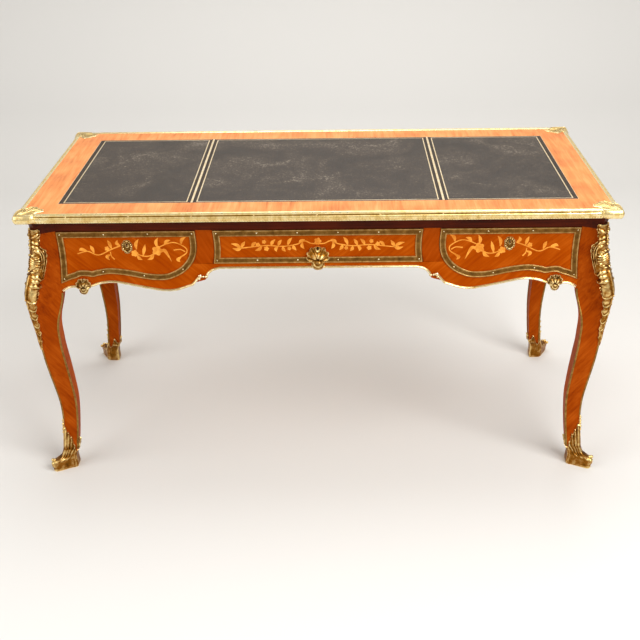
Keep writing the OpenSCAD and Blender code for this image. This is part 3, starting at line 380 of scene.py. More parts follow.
def piece(name, part, look, body="desk", replaces=(), angle=35):
    """An object from vertices in millimetres and faces, riding on a body."""
    mesh = mesh_from(name, part)
    bm = bmesh.new()
    bm.from_mesh(mesh)
    bmesh.ops.remove_doubles(bm, verts=bm.verts, dist=1e-6)
    bmesh.ops.recalc_face_normals(bm, faces=bm.faces)
    bm.to_mesh(mesh)
    bm.free()
    mesh.materials.append(finish(look))
    mesh.shade_smooth()
    mesh.set_sharp_from_angle(angle=math.radians(angle))
    obj = bpy.data.objects.new(name, mesh)
    bpy.context.scene.collection.objects.link(obj)
    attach(obj, body)
    if replaces:
        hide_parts(*replaces)


def on_drawers(suffix, parts, look, replaced="", angle=35):
    """Parts of the left, the right and the centre drawer, each riding on its drawer."""
    for side, part in zip(("left", "right", "centre"), parts):
        nodes = [side + replaced] if replaced else ()
        piece(side + suffix, part, look, side + "_drawer", nodes, angle)


def on_corners(name, part, look, suffix="_chased", angle=50):
    """A part mirrored onto the four corners, each in place of a frame node."""
    for corner, (sx, sy) in CORNERS.items():
        piece(name + corner + suffix, turned(part, sx, sy), look, replaces=[name + corner],
              angle=angle)


def front_sweep(path, profile):
    """Moulding along a path on the front face. The profile holds distances to the left of the path and
    heights above the face."""
    rows = [[(p[0] + n[0] * a, -FACE_Y - h, p[1] + n[1] * a) for a, h in profile]
            for p, n in zip(path, lefts(path))]
    return closed_tube(rows)


# Chased relief


def round_top(far, reach=1.0):
    """Height share of a half-round section at a distance from its middle."""
    return np.sqrt(np.clip(1 - (far / reach) ** 2, 0, 1))


def ridge(far, width):
    """Height share of a soft ridge at a distance from its crest."""
    return np.exp(-(far / width) ** 2)


def segment_distance(points, a, b):
    """Distance of points from a segment, and the share of it where each is nearest."""
    d = b - a
    t = np.clip((points - a) @ d / max(d @ d, 1e-9), 0, 1)
    return np.linalg.norm(points - a - t[:, None] * d, axis=1), t


def relief(points, strokes, beads=()):
    """Height of chasing at points in millimetres. A stroke is a path with the half widths and heights of
    its two ends, a bead a place with a radius and height."""
    points = np.asarray(points, float)
    height = np.zeros(len(points))
    for path, w0, w1, h0, h1 in strokes:
        path = curve(path, 5)
        n = len(path) - 1
        for k in range(n):
            far, t = segment_distance(points, path[k], path[k + 1])
            run = (k + t) / n
            height = np.maximum(height, (h0 + (h1 - h0) * run) * round_top(far, w0 + (w1 - w0) * run))
    for x, y, r, h in beads:
        height = np.maximum(height, h * round_top(np.hypot(points[:, 0] - x, points[:, 1] - y), r))
    return height


def star_plate(outline, centre, height, back=0.0, hole=None, around=128, rings=22):
    """Cast plate on the front face whose outline can be seen whole from its centre. height gives the
    relief for points in the plane; hole is an outline round the centre that stays open."""
    centre = np.asarray(centre, float)
    way = circle(around)
    angles = np.linspace(0, 2 * math.pi, around, endpoint=False)

    def reach(path):
        """How far a closed path lies from the centre at each angle."""
        rel = np.asarray(path, float) - centre
        at = np.arctan2(rel[:, 1], rel[:, 0])
        order = np.argsort(at)
        return np.interp(angles, at[order], np.hypot(*rel.T)[order], period=2 * math.pi)

    outer = reach(outline)
    inner = reach(hole) if hole is not None else np.full(around, 0.05)
    share = np.linspace(0, 1, rings)
    flat = centre + way[:, None] * (inner[:, None] + (outer - inner)[:, None] * share)[..., None]
    out = height(flat.reshape(-1, 2)).reshape(around, rings)
    rows = []
    for ring, heights in zip(flat, out):
        front = [(x, -FACE_Y - d, z) for (x, z), d in zip(ring, heights)]
        foot, end = [(x, -FACE_Y - back, z) for x, z in (ring[0], ring[-1])]
        rows.append([foot, *front, end])
    return closed_tube(rows + rows[:1], False)


def flat_piece(outline, thickness):
    """Thin slip with the outline of an inlay, lying on the front face."""
    return closed_tube([[(x, -FACE_Y + depth, z) for x, z in outline] for depth in (0.3, -thickness)])


def slip(path, widths, steps=6):
    """Outline of a slip that follows a path with a half width at each of its points."""
    line = curve([(x, z, w) for (x, z), w in zip(path, widths)], steps)
    side = lefts(line[:, :2]) * np.maximum(line[:, 2], 0.15)[:, None]
    return np.vstack([line[:, :2] + side, (line[:, :2] - side)[::-1]])


def dome(radius, height, around=8, rings=3):
    """Low round head, standing on y = 0 and facing the front."""
    rows = []
    for a in (math.pi / 2 * k / rings for k in range(rings)):
        rows.append([(radius * math.cos(a) * c, -height * math.sin(a), radius * math.cos(a) * s)
                     for c, s in circle(around)])
    verts, faces = closed_tube(rows, False)
    verts.append((0, -height, 0))
    last = (rings - 1) * around
    faces += [(last + j, last + (j + 1) % around, len(verts) - 1) for j in range(around)]
    faces.append(tuple(range(around))[::-1])
    return verts, faces


def ball(radius, cx, cy, cz, around=16, rings=8):
    """Round ball."""
    rows = []
    for a in (math.pi * k / rings for k in range(1, rings)):
        rows.append([(cx + radius * math.sin(a) * c, cy + radius * math.sin(a) * s, cz - radius * math.cos(a))
                     for c, s in circle(around)])
    return closed_tube(rows)


# Materials


def add(tree, kind, links=None, **settings):
    """Adds a node with its settings, and links or sets its inputs."""
    n = tree.nodes.new(kind)
    for key, value in settings.items():
        setattr(n, key, value)
    for key, value in (links or {}).items():
        if isinstance(value, bpy.types.NodeSocket):
            tree.links.new(value, n.inputs[key])
        else:
            n.inputs[key].default_value = value
    return n


def noise(tree, coords, size_mm, detail, **more):
    """Noise with clouds of about a size in millimetres."""
    inputs = {"Vector": coords, "Scale": 1000 / size_mm, "Detail": detail, **more}
    return add(tree, "ShaderNodeTexNoise", inputs).outputs["Fac"]


def total(tree, first, second):
    """Sum of two values."""
    return add(tree, "ShaderNodeMath", {0: first, 1: second}, operation="ADD").outputs[0]


def spread(tree, value, low, high, to_low=0.0, to_high=1.0):
    """A value brought from one range into another."""
    inputs = {"Value": value, "From Min": low, "From Max": high, "To Min": to_low, "To Max": to_high}
    return add(tree, "ShaderNodeMapRange", inputs).outputs["Result"]


def coloured(tree, shader, factor, places, shades):
    """Colours the shader by a factor, with a shade in sRGB hex at each place."""
    n = add(tree, "ShaderNodeValToRGB", {"Fac": factor})
    e = n.color_ramp.elements
    while len(e) < len(shades):
        e.new(0.5)
    for item, place, shade in zip(e, places, shades):
        item.position = place
        item.color = linear(shade)
    tree.links.new(n.outputs["Color"], shader.inputs["Base Color"])


def new_material(name, **inputs):
    """An empty material with its shader, and where its patterns start."""
    mat = bpy.data.materials.new(name)
    mat.use_nodes = True
    tree = mat.node_tree
    shader = tree.nodes["Principled BSDF"]
    for key, value in inputs.items():
        shader.inputs[key.replace("_", " ")].default_value = value
    coords = add(tree, "ShaderNodeTexCoord").outputs["Object"]
    return mat, tree, shader, coords


def bumped(tree, shader, height, strength, distance_mm):
    """Links a height to the shader's normal."""
    n = add(tree, "ShaderNodeBump", {"Height": height, "Strength": strength, "Distance": distance_mm / 1000})
    tree.links.new(n.outputs["Normal"], shader.inputs["Normal"])


def veneer(name, shades, grain=(0, 0, 1), pore_mm=1.6, roughness=0.36, slant=0):
    """Sawn tulipwood veneer under a worn wax polish: streaks along the grain, soft clouds across it.
    A slant lays the grain at that many degrees, mirrored about the middle of the table."""
    gloss = 0.015 if slant else 0.08
    mat, tree, shader, coords = new_material(name, Roughness=roughness, Specular_IOR_Level=gloss)
    if slant:
        parts = add(tree, "ShaderNodeSeparateXYZ", {"Vector": coords}).outputs
        side = add(tree, "ShaderNodeMath", {0: parts["X"]}, operation="ABSOLUTE").outputs[0]
        mirrored = {"X": side, "Y": parts["Y"], "Z": parts["Z"]}
        coords = add(tree, "ShaderNodeCombineXYZ", mirrored).outputs["Vector"]
        turn = {"Vector": coords, "Axis": (0, 1, 0), "Angle": math.radians(slant)}
        coords = add(tree, "ShaderNodeVectorRotate", turn).outputs["Vector"]

    def along_grain(length_mm, width_mm, detail, **more):
        """Noise drawn out along the grain."""
        scale = tuple(1000 / (length_mm if g else width_mm) for g in grain)
        drawn_out = add(tree, "ShaderNodeMapping", {"Vector": coords, "Scale": scale}).outputs["Vector"]
        return noise(tree, drawn_out, 1000, detail, **more)

    streaks = along_grain(120, pore_mm * 3, 5, Roughness=0.62, Distortion=0.6)
    bands = along_grain(250, 24, 3, Distortion=1.2)
    clouds = noise(tree, coords, 90, 2)
    tone = spread(tree, total(tree, total(tree, streaks, bands), clouds), 1.05, 1.95)
    coloured(tree, shader, tone, (0.0, 0.5, 1.0), shades)
    rough = spread(tree, clouds, 0.3, 0.7, roughness - 0.06, roughness + 0.1)
    tree.links.new(rough, shader.inputs["Roughness"])
    bumped(tree, shader, streaks, 0.12, 0.3)
    return mat


def gilt_bronze(name, shades, roughness=0.3, chase_mm=1.6, depth=0.3, patina_and_shade=0.5):
    """Cast, chased and fire-gilt bronze: brighter on ridges and brown in the hollows, from the mesh's
    pointiness. This is partly real burnish and dirt, partly painted highlight and painted shade."""
    mat, tree, shader, coords = new_material(name, Metallic=1.0, Roughness=roughness)
    # Pointiness darkens the hollows and lightens the ridges: partly real patina and burnish, partly painted
    # shade and painted highlight
    hollow_shade_and_patina = add(tree, "ShaderNodeNewGeometry").outputs["Pointiness"]
    hollow_shade_and_patina = spread(tree, hollow_shade_and_patina, 0.44, 0.54, -patina_and_shade, patina_and_shade * 0.6)
    tone = total(tree, noise(tree, coords, 14, 4, Roughness=0.65), hollow_shade_and_patina)
    coloured(tree, shader, tone, (0.12, 0.5, 0.86), shades)
    rough = spread(tree, tone, 0.1, 0.9, roughness + 0.22, roughness - 0.06)
    tree.links.new(rough, shader.inputs["Roughness"])
    bumped(tree, shader, noise(tree, coords, chase_mm, 3), depth, 0.35)
    return mat


def tooled_leather(name, shades):
    """Old dark calf, dyed and waxed: fine grain, rubbed brown patches where hands and books lay."""
    mat, tree, shader, coords = new_material(name, Roughness=0.5, Specular_IOR_Level=0.3)
    grain = add(tree, "ShaderNodeTexVoronoi", {"Vector": coords, "Scale": 1000 / 1.4}).outputs["Distance"]
    rubbed = noise(tree, coords, 170, 6, Roughness=0.7, Distortion=0.8)
    worn = spread(tree, total(tree, rubbed, noise(tree, coords, 5, 6)), 0.72, 1.3)
    coloured(tree, shader, worn, (0.0, 0.45, 0.75, 1.0), shades)
    tree.links.new(spread(tree, worn, 0, 1, 0.42, 0.62), shader.inputs["Roughness"])
    bumped(tree, shader, grain, 0.35, 0.25)
    return mat


def filed_iron(name, shades):
    """Filed iron of a lock case: grey with darker blotches."""
    mat, tree, shader, coords = new_material(name, Metallic=1.0, Roughness=0.45)
    spots = noise(tree, coords, 8, 4)
    coloured(tree, shader, spots, (0.3, 0.7), shades)
    bumped(tree, shader, spots, 0.2, 0.2)
    return mat


def inlay_wood(name, shades):
    """Thin slips of holly, stained and scorched with hot sand: pale, with darker clouds."""
    mat, tree, shader, coords = new_material(name, Roughness=0.36, Specular_IOR_Level=0.14)
    coloured(tree, shader, noise(tree, coords, 16, 3), (0.3, 0.65), shades)
    return mat


# Maker, material name, shades from dark to light, and the maker's other settings in order
ALONG, UPRIGHT, FRONT_TO_BACK = (1, 0, 0), (0, 0, 1), (0, 1, 0)
FINISHES = {
    "tulipwood": (veneer, "tulipwood_veneer", ("8a3000", "9e4000", "b4540c"), ALONG, 1.6, 0.36, 40),
    "tulipwood_upright": (veneer, "tulipwood_upright_veneer", ("7a2a02", "983e04", "b0520e"), UPRIGHT, 1.6,
                          0.36, -38),
    "kingwood": (veneer, "kingwood_veneer", ("702400", "923800", "a8480a"), UPRIGHT, 1.6, 0.36, -30),
    "border": (veneer, "crossbanded_border_veneer", ("bc6a34", "e08c50", "f0a468"), FRONT_TO_BACK, 2.2, 0.4),
    # Painted shade: the cavetto's near-black shades paint the shadow under the top's overhang into the wood's
    # colour
    "dark": (veneer, "stained_cavetto_veneer", ("2c0a00", "4c1602", "5e2004"), ALONG, 1.6, 0.4),
    "oak": (veneer, "plain_oak", ("9a7040", "b98a55", "cda46d"), FRONT_TO_BACK, 1.8, 0.6),
    "gilt": (gilt_bronze, "chased_gilt_bronze", ("2e1a04", "98601c", "f6d890")),
    "gilt_dark": (gilt_bronze, "worn_gilt_bronze", ("301c06", "865a22", "ecd090"), 0.34, 1.4, 0.25, 0.6),
    "gilt_smooth": (gilt_bronze, "burnished_gilt_bronze", ("6a4814", "d0aa60", "fff2cc"), 0.24, 2.4, 0.12,
                    0.4),
    "gilt_pale": (gilt_bronze, "pale_gilt_bronze", ("86601c", "e6c67c", "fff0bc"), 0.3, 1.4),
    "gilt_bright": (gilt_bronze, "bright_gilt_bronze", ("c09448", "f2dca0", "fff6d4"), 0.34, 1.4, 0.2, 0.15),
    "gilt_rim": (gilt_bronze, "rubbed_gilt_bronze", ("6a4818", "a88044", "dcba7c"), 0.34, 1.4, 0.15, 0.2),
    # A darker copy of the gilt for the arris filets on the legs' inner arrises
    "filet_gilt": (gilt_bronze, "dulled_gilt_bronze", ("40280e", "84602a", "b89250"), 0.36, 1.4, 0.15, 0.15),
    "old_gilt": (gilt_bronze, "darkened_gilt_bronze", ("40280e", "7c5626", "a88044"), 0.4, 1.2, 0.25, 0.35),
    "gold_leaf": (gilt_bronze, "gold_tooling", ("b49c70", "e4d0a8", "f8eed8"), 0.45, 1.5, 0.1, 0.1),
    "leather": (tooled_leather, "tooled_calf_leather", ("241d16", "3a3129", "52483d", "80766a")),
    "leather_dark": (tooled_leather, "dark_margin_leather", ("1c1208", "2c1e10", "3a2c1c", "4c3e2e")),
    "iron": (filed_iron, "filed_iron", ("55575a", "8d8f92")),
    "holly": (inlay_wood, "scorched_holly_inlay", ("c8741c", "ec9c3a")),
}
MATERIALS = {}


def finish(look):
    """The material of a look, made when it is first needed."""
    if look not in MATERIALS:
        maker, *settings = FINISHES[look]
        MATERIALS[look] = maker(*settings)
    return MATERIALS[look]


# Sizes and colours a user would change


class TABLE_PG_sizes(bpy.types.PropertyGroup):
    """Sizes of the table's ornament."""

    pin_spacing: FloatProperty(
        name="Pin spacing", description="Distance between the edge moulding's pins",
        default=0.168, min=0.05, unit="LENGTH")
    pin_radius: FloatProperty(
        name="Pin radius", description="Radius of a brass pin's head", default=0.0022, min=0.0005,
        unit="LENGTH")
    frame_pin_spacing: FloatProperty(
        name="Frame pin spacing", description="Distance between a drawer frame's pins",
        default=0.12, min=0.03, unit="LENGTH")
    tongue_pitch: FloatProperty(
        name="Tongue pitch", description="Width of one tongue of the edge moulding's frieze",
        default=0.0068, min=0.004, unit="LENGTH")
    line_width: FloatProperty(
        name="Gold line", description="Width of the gold line on the leather",
        default=0.003, min=0.0005, unit="LENGTH")


class TABLE_PG_stage(bpy.types.PropertyGroup):
    """Colours and light of the stage."""

    floor_colour: FloatVectorProperty(name="Floor", description="Colour of the floor and backdrop",
                                      subtype="COLOR", size=4, min=0, max=1, default=linear("dcdad6"))
    key_watts: FloatProperty(
        name="Key light", description="Power of the strongest light", default=150, min=0, unit="POWER")
    fill_watts: FloatProperty(
        name="Fill light", description="Power of each of the two weaker lights", default=60, min=0,
        unit="POWER")


# Geometry Nodes


def along_points(name, points, part, look, quarters=0, body="desk"):
    """Sets a small shape on each point with Geometry Nodes and makes the result one plain mesh.
    Each shape is turned about the upright axis by quarter turns, one number for all or one for each."""
    turns = np.zeros((len(points), 3))
    turns[:, 2] = np.asarray(quarters) * math.pi / 2
    cloud = mesh_from(name + "_points", (points, []))
    cloud.attributes.new("turn", "FLOAT_VECTOR", "POINT").data.foreach_set("vector", turns.ravel())
    obj = bpy.data.objects.new(name, cloud)
    bpy.context.scene.collection.objects.link(obj)
    shape = bpy.data.objects.new(name + "_shape", mesh_from(name + "_shape", part))
    shape.data.shade_smooth()
    tree = bpy.data.node_groups.new(name + "_tree", "GeometryNodeTree")
    tree.interface.new_socket("Geometry", in_out="INPUT", socket_type="NodeSocketGeometry")
    size = tree.interface.new_socket("Size", in_out="INPUT", socket_type="NodeSocketFloat")
    tree.interface.new_socket("Geometry", in_out="OUTPUT", socket_type="NodeSocketGeometry")
    given = add(tree, "NodeGroupInput").outputs
    turn = add(tree, "GeometryNodeInputNamedAttribute", {"Name": "turn"}, data_type="FLOAT_VECTOR")
    rotation = add(tree, "FunctionNodeEulerToRotation", {"Euler": turn.outputs["Attribute"]})
    placed = add(tree, "GeometryNodeInstanceOnPoints", {
        "Points": add(tree, "GeometryNodeMeshToPoints", {"Mesh": given["Geometry"]}).outputs["Points"],
        "Instance": add(tree, "GeometryNodeObjectInfo", {"Object": shape}).outputs["Geometry"],
        "Rotation": rotation.outputs["Rotation"],
        "Scale": given["Size"],
    })
    real = add(tree, "GeometryNodeRealizeInstances", {"Geometry": placed.outputs["Instances"]})
    painted = add(tree, "GeometryNodeSetMaterial",
                  {"Geometry": real.outputs["Geometry"], "Material": finish(look)})
    add(tree, "NodeGroupOutput", {"Geometry": painted.outputs["Geometry"]})
    modifier = obj.modifiers.new(name, "NODES")
    modifier.node_group = tree
    modifier[size.identifier] = 1.0
    evaluated = obj.evaluated_get(bpy.context.evaluated_depsgraph_get())
    result = bpy.data.meshes.new_from_object(evaluated)
    obj.modifiers.clear()
    obj.data = result
    result.shade_smooth()
    bpy.data.objects.remove(shape)
    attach(obj, body)


# Operators


class TABLE_OT_carcass(bpy.types.Operator):
    """Veneers the carcass and the drawers that keep their frame shapes."""

    bl_idname = "table.carcass"
    bl_label = "Carcass and drawers"

    def execute(self, context):
        # The cavetto frame takes the dark finish, which is painted shade under the top's overhang
        looks = {"top_board": "oak", "top_border": "border", "cavetto_frame": "dark",
                 "drawer_partitions": "kingwood", "drawer_runners": "oak"}
        aprons = ("front_apron", "back_apron", "side_apron_left", "side_apron_right")
        looks |= dict.fromkeys(aprons, "tulipwood")
        for side in ("left", "centre", "right"):
            looks |= {f"{side}_drawer_front": "tulipwood", f"{side}_drawer_box": "oak",
                      f"{side}_drawer_bottom": "oak", f"{side}_lock": "iron", f"{side}_bolt": "gilt_smooth",
                      f"leather_{side}": "leather"}
        for node, look in looks.items():
            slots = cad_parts[node].data.materials
            slots.clear()
            slots.append(finish(look))
        return {"FINISHED"}


def leg_mesh():
    """Smooth skin of one leg, from inside its sabot to the carcass top."""
    places = np.concatenate([np.linspace(0.7, 2, 80), np.linspace(2, 3, 50)[1:]])
    return closed_tube([[(x, y, leg_z(s)) for x, y in leg_ring(s)] for s in places])


def filet_mesh(which, low, high):
    """Half-round brass filet in the chamfer of one arris: at the front, at the side or at the corner."""
    rows = []
    for s in np.linspace(low, high, 60):
        f, _ = leg_points(s)
        flat, _ = leg_points(s, False)
        lo = arris_share(s, FILET_W)
        if which == "front":
            a, b = face_at(s, [lo])[0], f - [0, FILET_W]
        elif which == "side":
            a, b = across(flat) - [FILET_W, 0], across(face_at(s, [lo], False)[0])
        else:
            a, b = across(face_at(s, [1], False)[0]), face_at(s, [1])[0]
        along = (b - a) / np.linalg.norm(b - a)
        out = np.array([along[1], -along[0]])
        mid, half = (a + b) / 2, FILET_W * 0.95
        ring = [mid - along * half * math.cos(k) + out * (0.2 + 3.0 * math.sin(k))
                for k in np.linspace(0, math.pi, 7)]
        rows.append([(x, y, leg_z(s)) for x, y in ring])
    return closed_tube(rows)


class TABLE_OT_legs(bpy.types.Operator):
    """Makes the four cabriole legs and the brass filets on their arrises."""

    bl_idname = "table.legs"
    bl_label = "Legs and filets"

    def execute(self, context):
        on_corners("leg_", leg_mesh(), "tulipwood_upright", "_veneered", 35)
        stretches = (("front", 1, 2), ("side", 1, 2), ("corner", 1.2, KNEE_TIP))
        one = joined([filet_mesh(*stretch) for stretch in stretches])
        parts = [turned(one, sx, sy) for sx, sy in CORNERS.values()]
        piece("arris_filets", joined(parts), "filet_gilt", replaces=["leg_filets"])
        pins, inset = [], (0.6, -2.2)
        for s in np.linspace(*FILET_PINS):
            for x, y in (leg_points(s)[0] + inset, across(leg_points(s, False)[0] + inset)):
                pins += [(sx * x, sy * y, leg_z(s)) for sx, sy in CORNERS.values()]
        along_points("filet_pins", pins, ball(1.9, 0, 0, 0, 10, 6), "gilt_smooth")
        return {"FINISHED"}


def edge_profile():
    """Section of the edge moulding, from its foot over pinned groove and nosing to the top: distance out
    and height."""
    reed = [(EDGE_T - 1.2 + 0.9 * math.sin(a), 5 + 10 * a / math.pi)
            for a in np.linspace(0.3, math.pi - 0.3, 6)]
    nosing = [(EDGE_T - 4.2 + 4.2 * math.cos(a), 22.8 + 4.1 * math.sin(a))
              for a in np.linspace(-0.9, 2.1, 10)]
    return [(0, 0), (EDGE_T - 4, 0), (EDGE_T - 2.2, 0.8), (EDGE_T - 1.4, 2.4), (EDGE_T - 1.2, 5), *reed,
            (EDGE_T - 1.6, 15.6), (EDGE_T - 3, 16.6), (EDGE_T - 3, 18.4), (EDGE_T - 1.8, 19.2), *nosing,
            (EDGE_T - 8.5, EDGE_H - 1.2), (0, EDGE_H - 2.5)]


def tongue_mesh(pitch):
    """One small leaf tongue, standing on its tip and facing the front."""
    rings = []
    for z, w, h in ((0, 0.15, 0.15), (1.2, 0.6, 0.7), (4, 1.0, 0.75), (8, 0.95, 0.9), (12, 0.85, 0.95),
                    (14, 0.5, 0.5)):
        half = pitch * 0.47 * w
        rings.append([(half, 0.6, z), (half * 0.6, -h, z), (0, -h * 0.35, z), (-half * 0.6, -h, z),
                      (-half, 0.6, z)])
    return closed_tube(rings)


class TABLE_OT_edge(bpy.types.Operator):
    """Makes the gilt edge of the top: bead, pinned groove and frieze of small tongues."""

    bl_idname = "table.edge"
    bl_label = "Edge moulding"

    def execute(self, context):
        sizes = context.scene.table_sizes
        pitch, spacing = sizes.tongue_pitch * 1000, sizes.pin_spacing * 1000
        tongue, pin, profile = tongue_mesh(pitch), dome(sizes.pin_radius * 1000, 1.6), edge_profile()
        half_w, half_d = DESK_W / 2 - CORNER_LEN, DESK_D / 2 - CORNER_LEN
        for side, turn, half, out in (("front", 0, half_w, TOP_Y), ("back", 2, half_w, TOP_Y),
                                      ("left", 3, half_d, TOP_X), ("right", 1, half_d, TOP_X)):
            rows = [[(x, -out - a, TOP_BOTTOM + b) for a, b in profile]
                    for x in np.linspace(-half, half, max(2, int(2 * half / 20)))]
            piece("edge_" + side, turned(closed_tube(rows), turn=turn), "gilt_pale",
                  replaces=["edge_moulding_" + side])
            for kind, shape, look, count, reach, z in (
                    ("frieze", tongue, "gilt_bright", int(2 * half / pitch), EDGE_T - 1.2, 1),
                    ("pins", pin, "gilt_smooth", max(1, round(2 * half / spacing)), EDGE_T - 3, 17.5)):
                xs = (np.arange(count) + 0.5) / count * 2 * half - half
                row = [(x, -out - reach, TOP_BOTTOM + z) for x in xs], []
                along_points(f"edge_{kind}_{side}", turned(row, turn=turn)[0], shape, look, turn)
        return {"FINISHED"}


def flat_band(outer, widths, top):
    """Flat band inside a rectangle: its left and right end and half depth, and the width on its left, its
    right and its other two sides."""
    x0, x1, y = outer
    left, right, ends = widths
    out = [(x0, -y), (x1, -y), (x1, y), (x0, y)]
    within = [(x0 + left, ends - y), (x1 - right, ends - y), (x1 - right, y - ends), (x0 + left, y - ends)]
    low = top - 0.3
    rows = [[(*a, low), (*b, low), (*b, top), (*a, top)] for a, b in zip(within, out)]
    return closed_tube(rows + rows[:1], False)


def crowned_strip(x, half, top):
    """Low crowned strip over a divider, from front to back."""
    profile = [(-half, -0.4), (half, -0.4), (half, -0.12), (half * 0.5, 0), (-half * 0.5, 0), (-half, -0.12)]
    return closed_tube([[(x + a, y, top + b) for a, b in profile] for y in (-LEATHER_Y, LEATHER_Y)])


class TABLE_OT_leather(bpy.types.Operator):
    """Lays the dark margins and the gold tooling on the three leather panels."""

    bl_idname = "table.leather"
    bl_label = "Leather tooling"

    def execute(self, context):
        w = context.scene.table_sizes.line_width * 1000
        wide, narrow, deep, stringing = 13, 6, 8, 1.2
        near, far = DIVIDER_X - DIVIDER_W / 2, DIVIDER_X + DIVIDER_W / 2
        margins, lines = [], []
        for x0, x1, left, right in ((-LEATHER_X, -far, wide, narrow), (-near, near, narrow, narrow),
                                    (far, LEATHER_X, narrow, wide)):
            margins.append(flat_band((x0, x1, LEATHER_Y), (left, right, deep), LEATHER_TOP + 0.06))
            inside = (x0 + left, x1 - right, LEATHER_Y - deep)
            lines.append(flat_band(inside, (w, w, w), LEATHER_TOP + 0.14))
        for x in (-DIVIDER_X, DIVIDER_X):
            margins.append(crowned_strip(x, DIVIDER_W / 2 + 0.2, WOOD_TOP + 0.22))
            lines.append(crowned_strip(x, 2.9, WOOD_TOP + 0.5))
        piece("dark_leather_margins", joined(margins), "leather_dark")
        piece("gold_tooling", joined(lines), "gold_leaf")
        edge = flat_band((-LEATHER_X, LEATHER_X, LEATHER_Y), (stringing,) * 3, LEATHER_TOP + 0.3)
        piece("leather_stringing", edge, "gold_leaf")
        return {"FINISHED"}


# Sections across a frame: distance in from its outline and height
FRAME_PROFILE = [
    (0.4, 0), (0.4, 1.9), (3.6, 1.9), (5.2, 1.7), (8.2, 1.5), (11.2, 1.7), (12.9, 1.9), (16.1, 1.9),
    (16.1, 0),
]
RIM_PROFILES = [[(a, 0), (a, 2.4), (a + 0.9, 3.4), (a + 2.3, 3.4), (a + 3.2, 2.4), (a + 3.2, 0)]
                for a in (0, 13.3)]
FRAME_MIDDLE = 8.2
# Outlines of a side drawer's, the centre drawer's and a side panel's frame, and points on each stretch
FRAMES = ((SIDE_STRETCHES, (14, 24, 110)), (CENTRE_STRETCHES, (14, 30, 14, 30)),
          (PANEL_STRETCHES, (60, 12, 40, 12)))


def frame_mesh(stretches, counts, profile):
    """Brass frame along a closed outline on the front face."""
    loops = [inset_loop(stretches, d, counts) for d, _ in profile]
    rows = [[(x, -FACE_Y - h, z) for (x, z), (_, h) in zip(ring, profile)] for ring in zip(*loops)]
    return closed_tube(rows + rows[:1], False)


def frame_pin_points(stretches, spacing):
    """Places of the pins down the middle of a frame's channel."""
    points = []
    for p in inset_stretches(stretches, FRAME_MIDDLE):
        n = max(1, round(run_along(p)[-1] / spacing))
        points += [(x, -FACE_Y - 1.6, z) for x, z in resampled(p, n + 1)[:-1]]
    return points


class TABLE_OT_frames(bpy.types.Operator):
    """Makes the channelled brass frames with their bright rims and pins."""

    bl_idname = "table.frames"
    bl_label = "Drawer frames"

    def execute(self, context):
        sizes = context.scene.table_sizes
        spacing, pin = sizes.frame_pin_spacing * 1000, dome(sizes.pin_radius * 1000, 1.3)
        for end, ends, look, profiles, replaced, dummies in (
                ("_frame", "_frames", "old_gilt", [FRAME_PROFILE], "_drawer_frame", ["dummy_frames"]),
                ("_frame_rims", "_frame_rims", "gilt_rim", RIM_PROFILES, "", ())):
            right, centre, panel = [joined([frame_mesh(*outline, profile) for profile in profiles])
                                    for outline in FRAMES]
            left = turned(right, -1)
            on_drawers(end, (left, right, centre), look, replaced)
            piece("back_and_side" + ends, back_and_sides([right, left, centre], panel), look,
                  replaces=dummies)
        right, centre, panel = [(frame_pin_points(stretches, spacing), []) for stretches, _ in FRAMES]
        left = turned(right, -1)
        for side, (points, _) in (("left", left), ("right", right), ("centre", centre)):
            along_points(side + "_frame_pins", points, pin, "gilt_smooth", body=side + "_drawer")
        points, _ = back_and_sides([right, left, centre], panel)
        flank = len(panel[0])
        quarters = [2] * (len(points) - 2 * flank) + [1] * flank + [3] * flank
        along_points("dummy_frame_pins", points, pin, "gilt_smooth", quarters)
        return {"FINISHED"}


# Section of the apron moulding: distance from the apron's lower line and height
MOULDING_PROFILE = [
    (0, 0), (0, 2.2), (0.7, 3.6), (2.0, 4.4), (3.4, 4.4), (4.6, 3.7), (5.2, 2.6), (5.8, 2.2), (6.6, 2.0),
    (7.0, 1.2), (7.0, 0),
]
KNOBS = ((17, 48, 6), (8.5, 45.5, 3.4), (0.5, 45, 4.2), (20, 40, 4.2))


class TABLE_OT_apron_mouldings(bpy.types.Operator):
    """Makes the gilt mouldings along the lower line of the aprons."""

    bl_idname = "table.apron_mouldings"
    bl_label = "Apron mouldings"

    def execute(self, context):
        outer = [(LEG_FACE_X - a, KNEE_Z + b) for a, b in ARCH_OUTER]
        run = curve(outer + [(STILE_X + a, KNEE_Z + b) for a, b in ARCH_INNER + ARCH_TIP], 8)
        profile = [(-a, h) for a, h in MOULDING_PROFILE]
        side = front_sweep(run[run[:, 0] < LEG_FACE_X - 4], profile)
        # The knobs of the stile hide the cusp's first two stretches
        cusp = curve([(STILE_X + a, ARCH_Z - b) for a, b in CUSP], 8)[16:]
        centre = front_sweep(np.vstack([cusp, flipped(cusp)]), profile)
        knobs = [ball(r, STILE_X + a, -FACE_Y - r * 0.6, KNEE_Z + b) for a, b, r in KNOBS]
        one = joined([side, turned(side, -1), centre] + knobs + [turned(k, -1) for k in knobs])
        flanks = back_and_sides([], front_sweep(SIDE_LINE, MOULDING_PROFILE))
        for place, name, part in (("front", "front_apron_moulding", one),
                                  ("back", "back_apron_moulding", turned(one, turn=2)),
                                  ("sides", "side_apron_mouldings", flanks)):
            piece(name, part, "gilt_smooth", replaces=["apron_moulding_" + place])
        return {"FINISHED"}


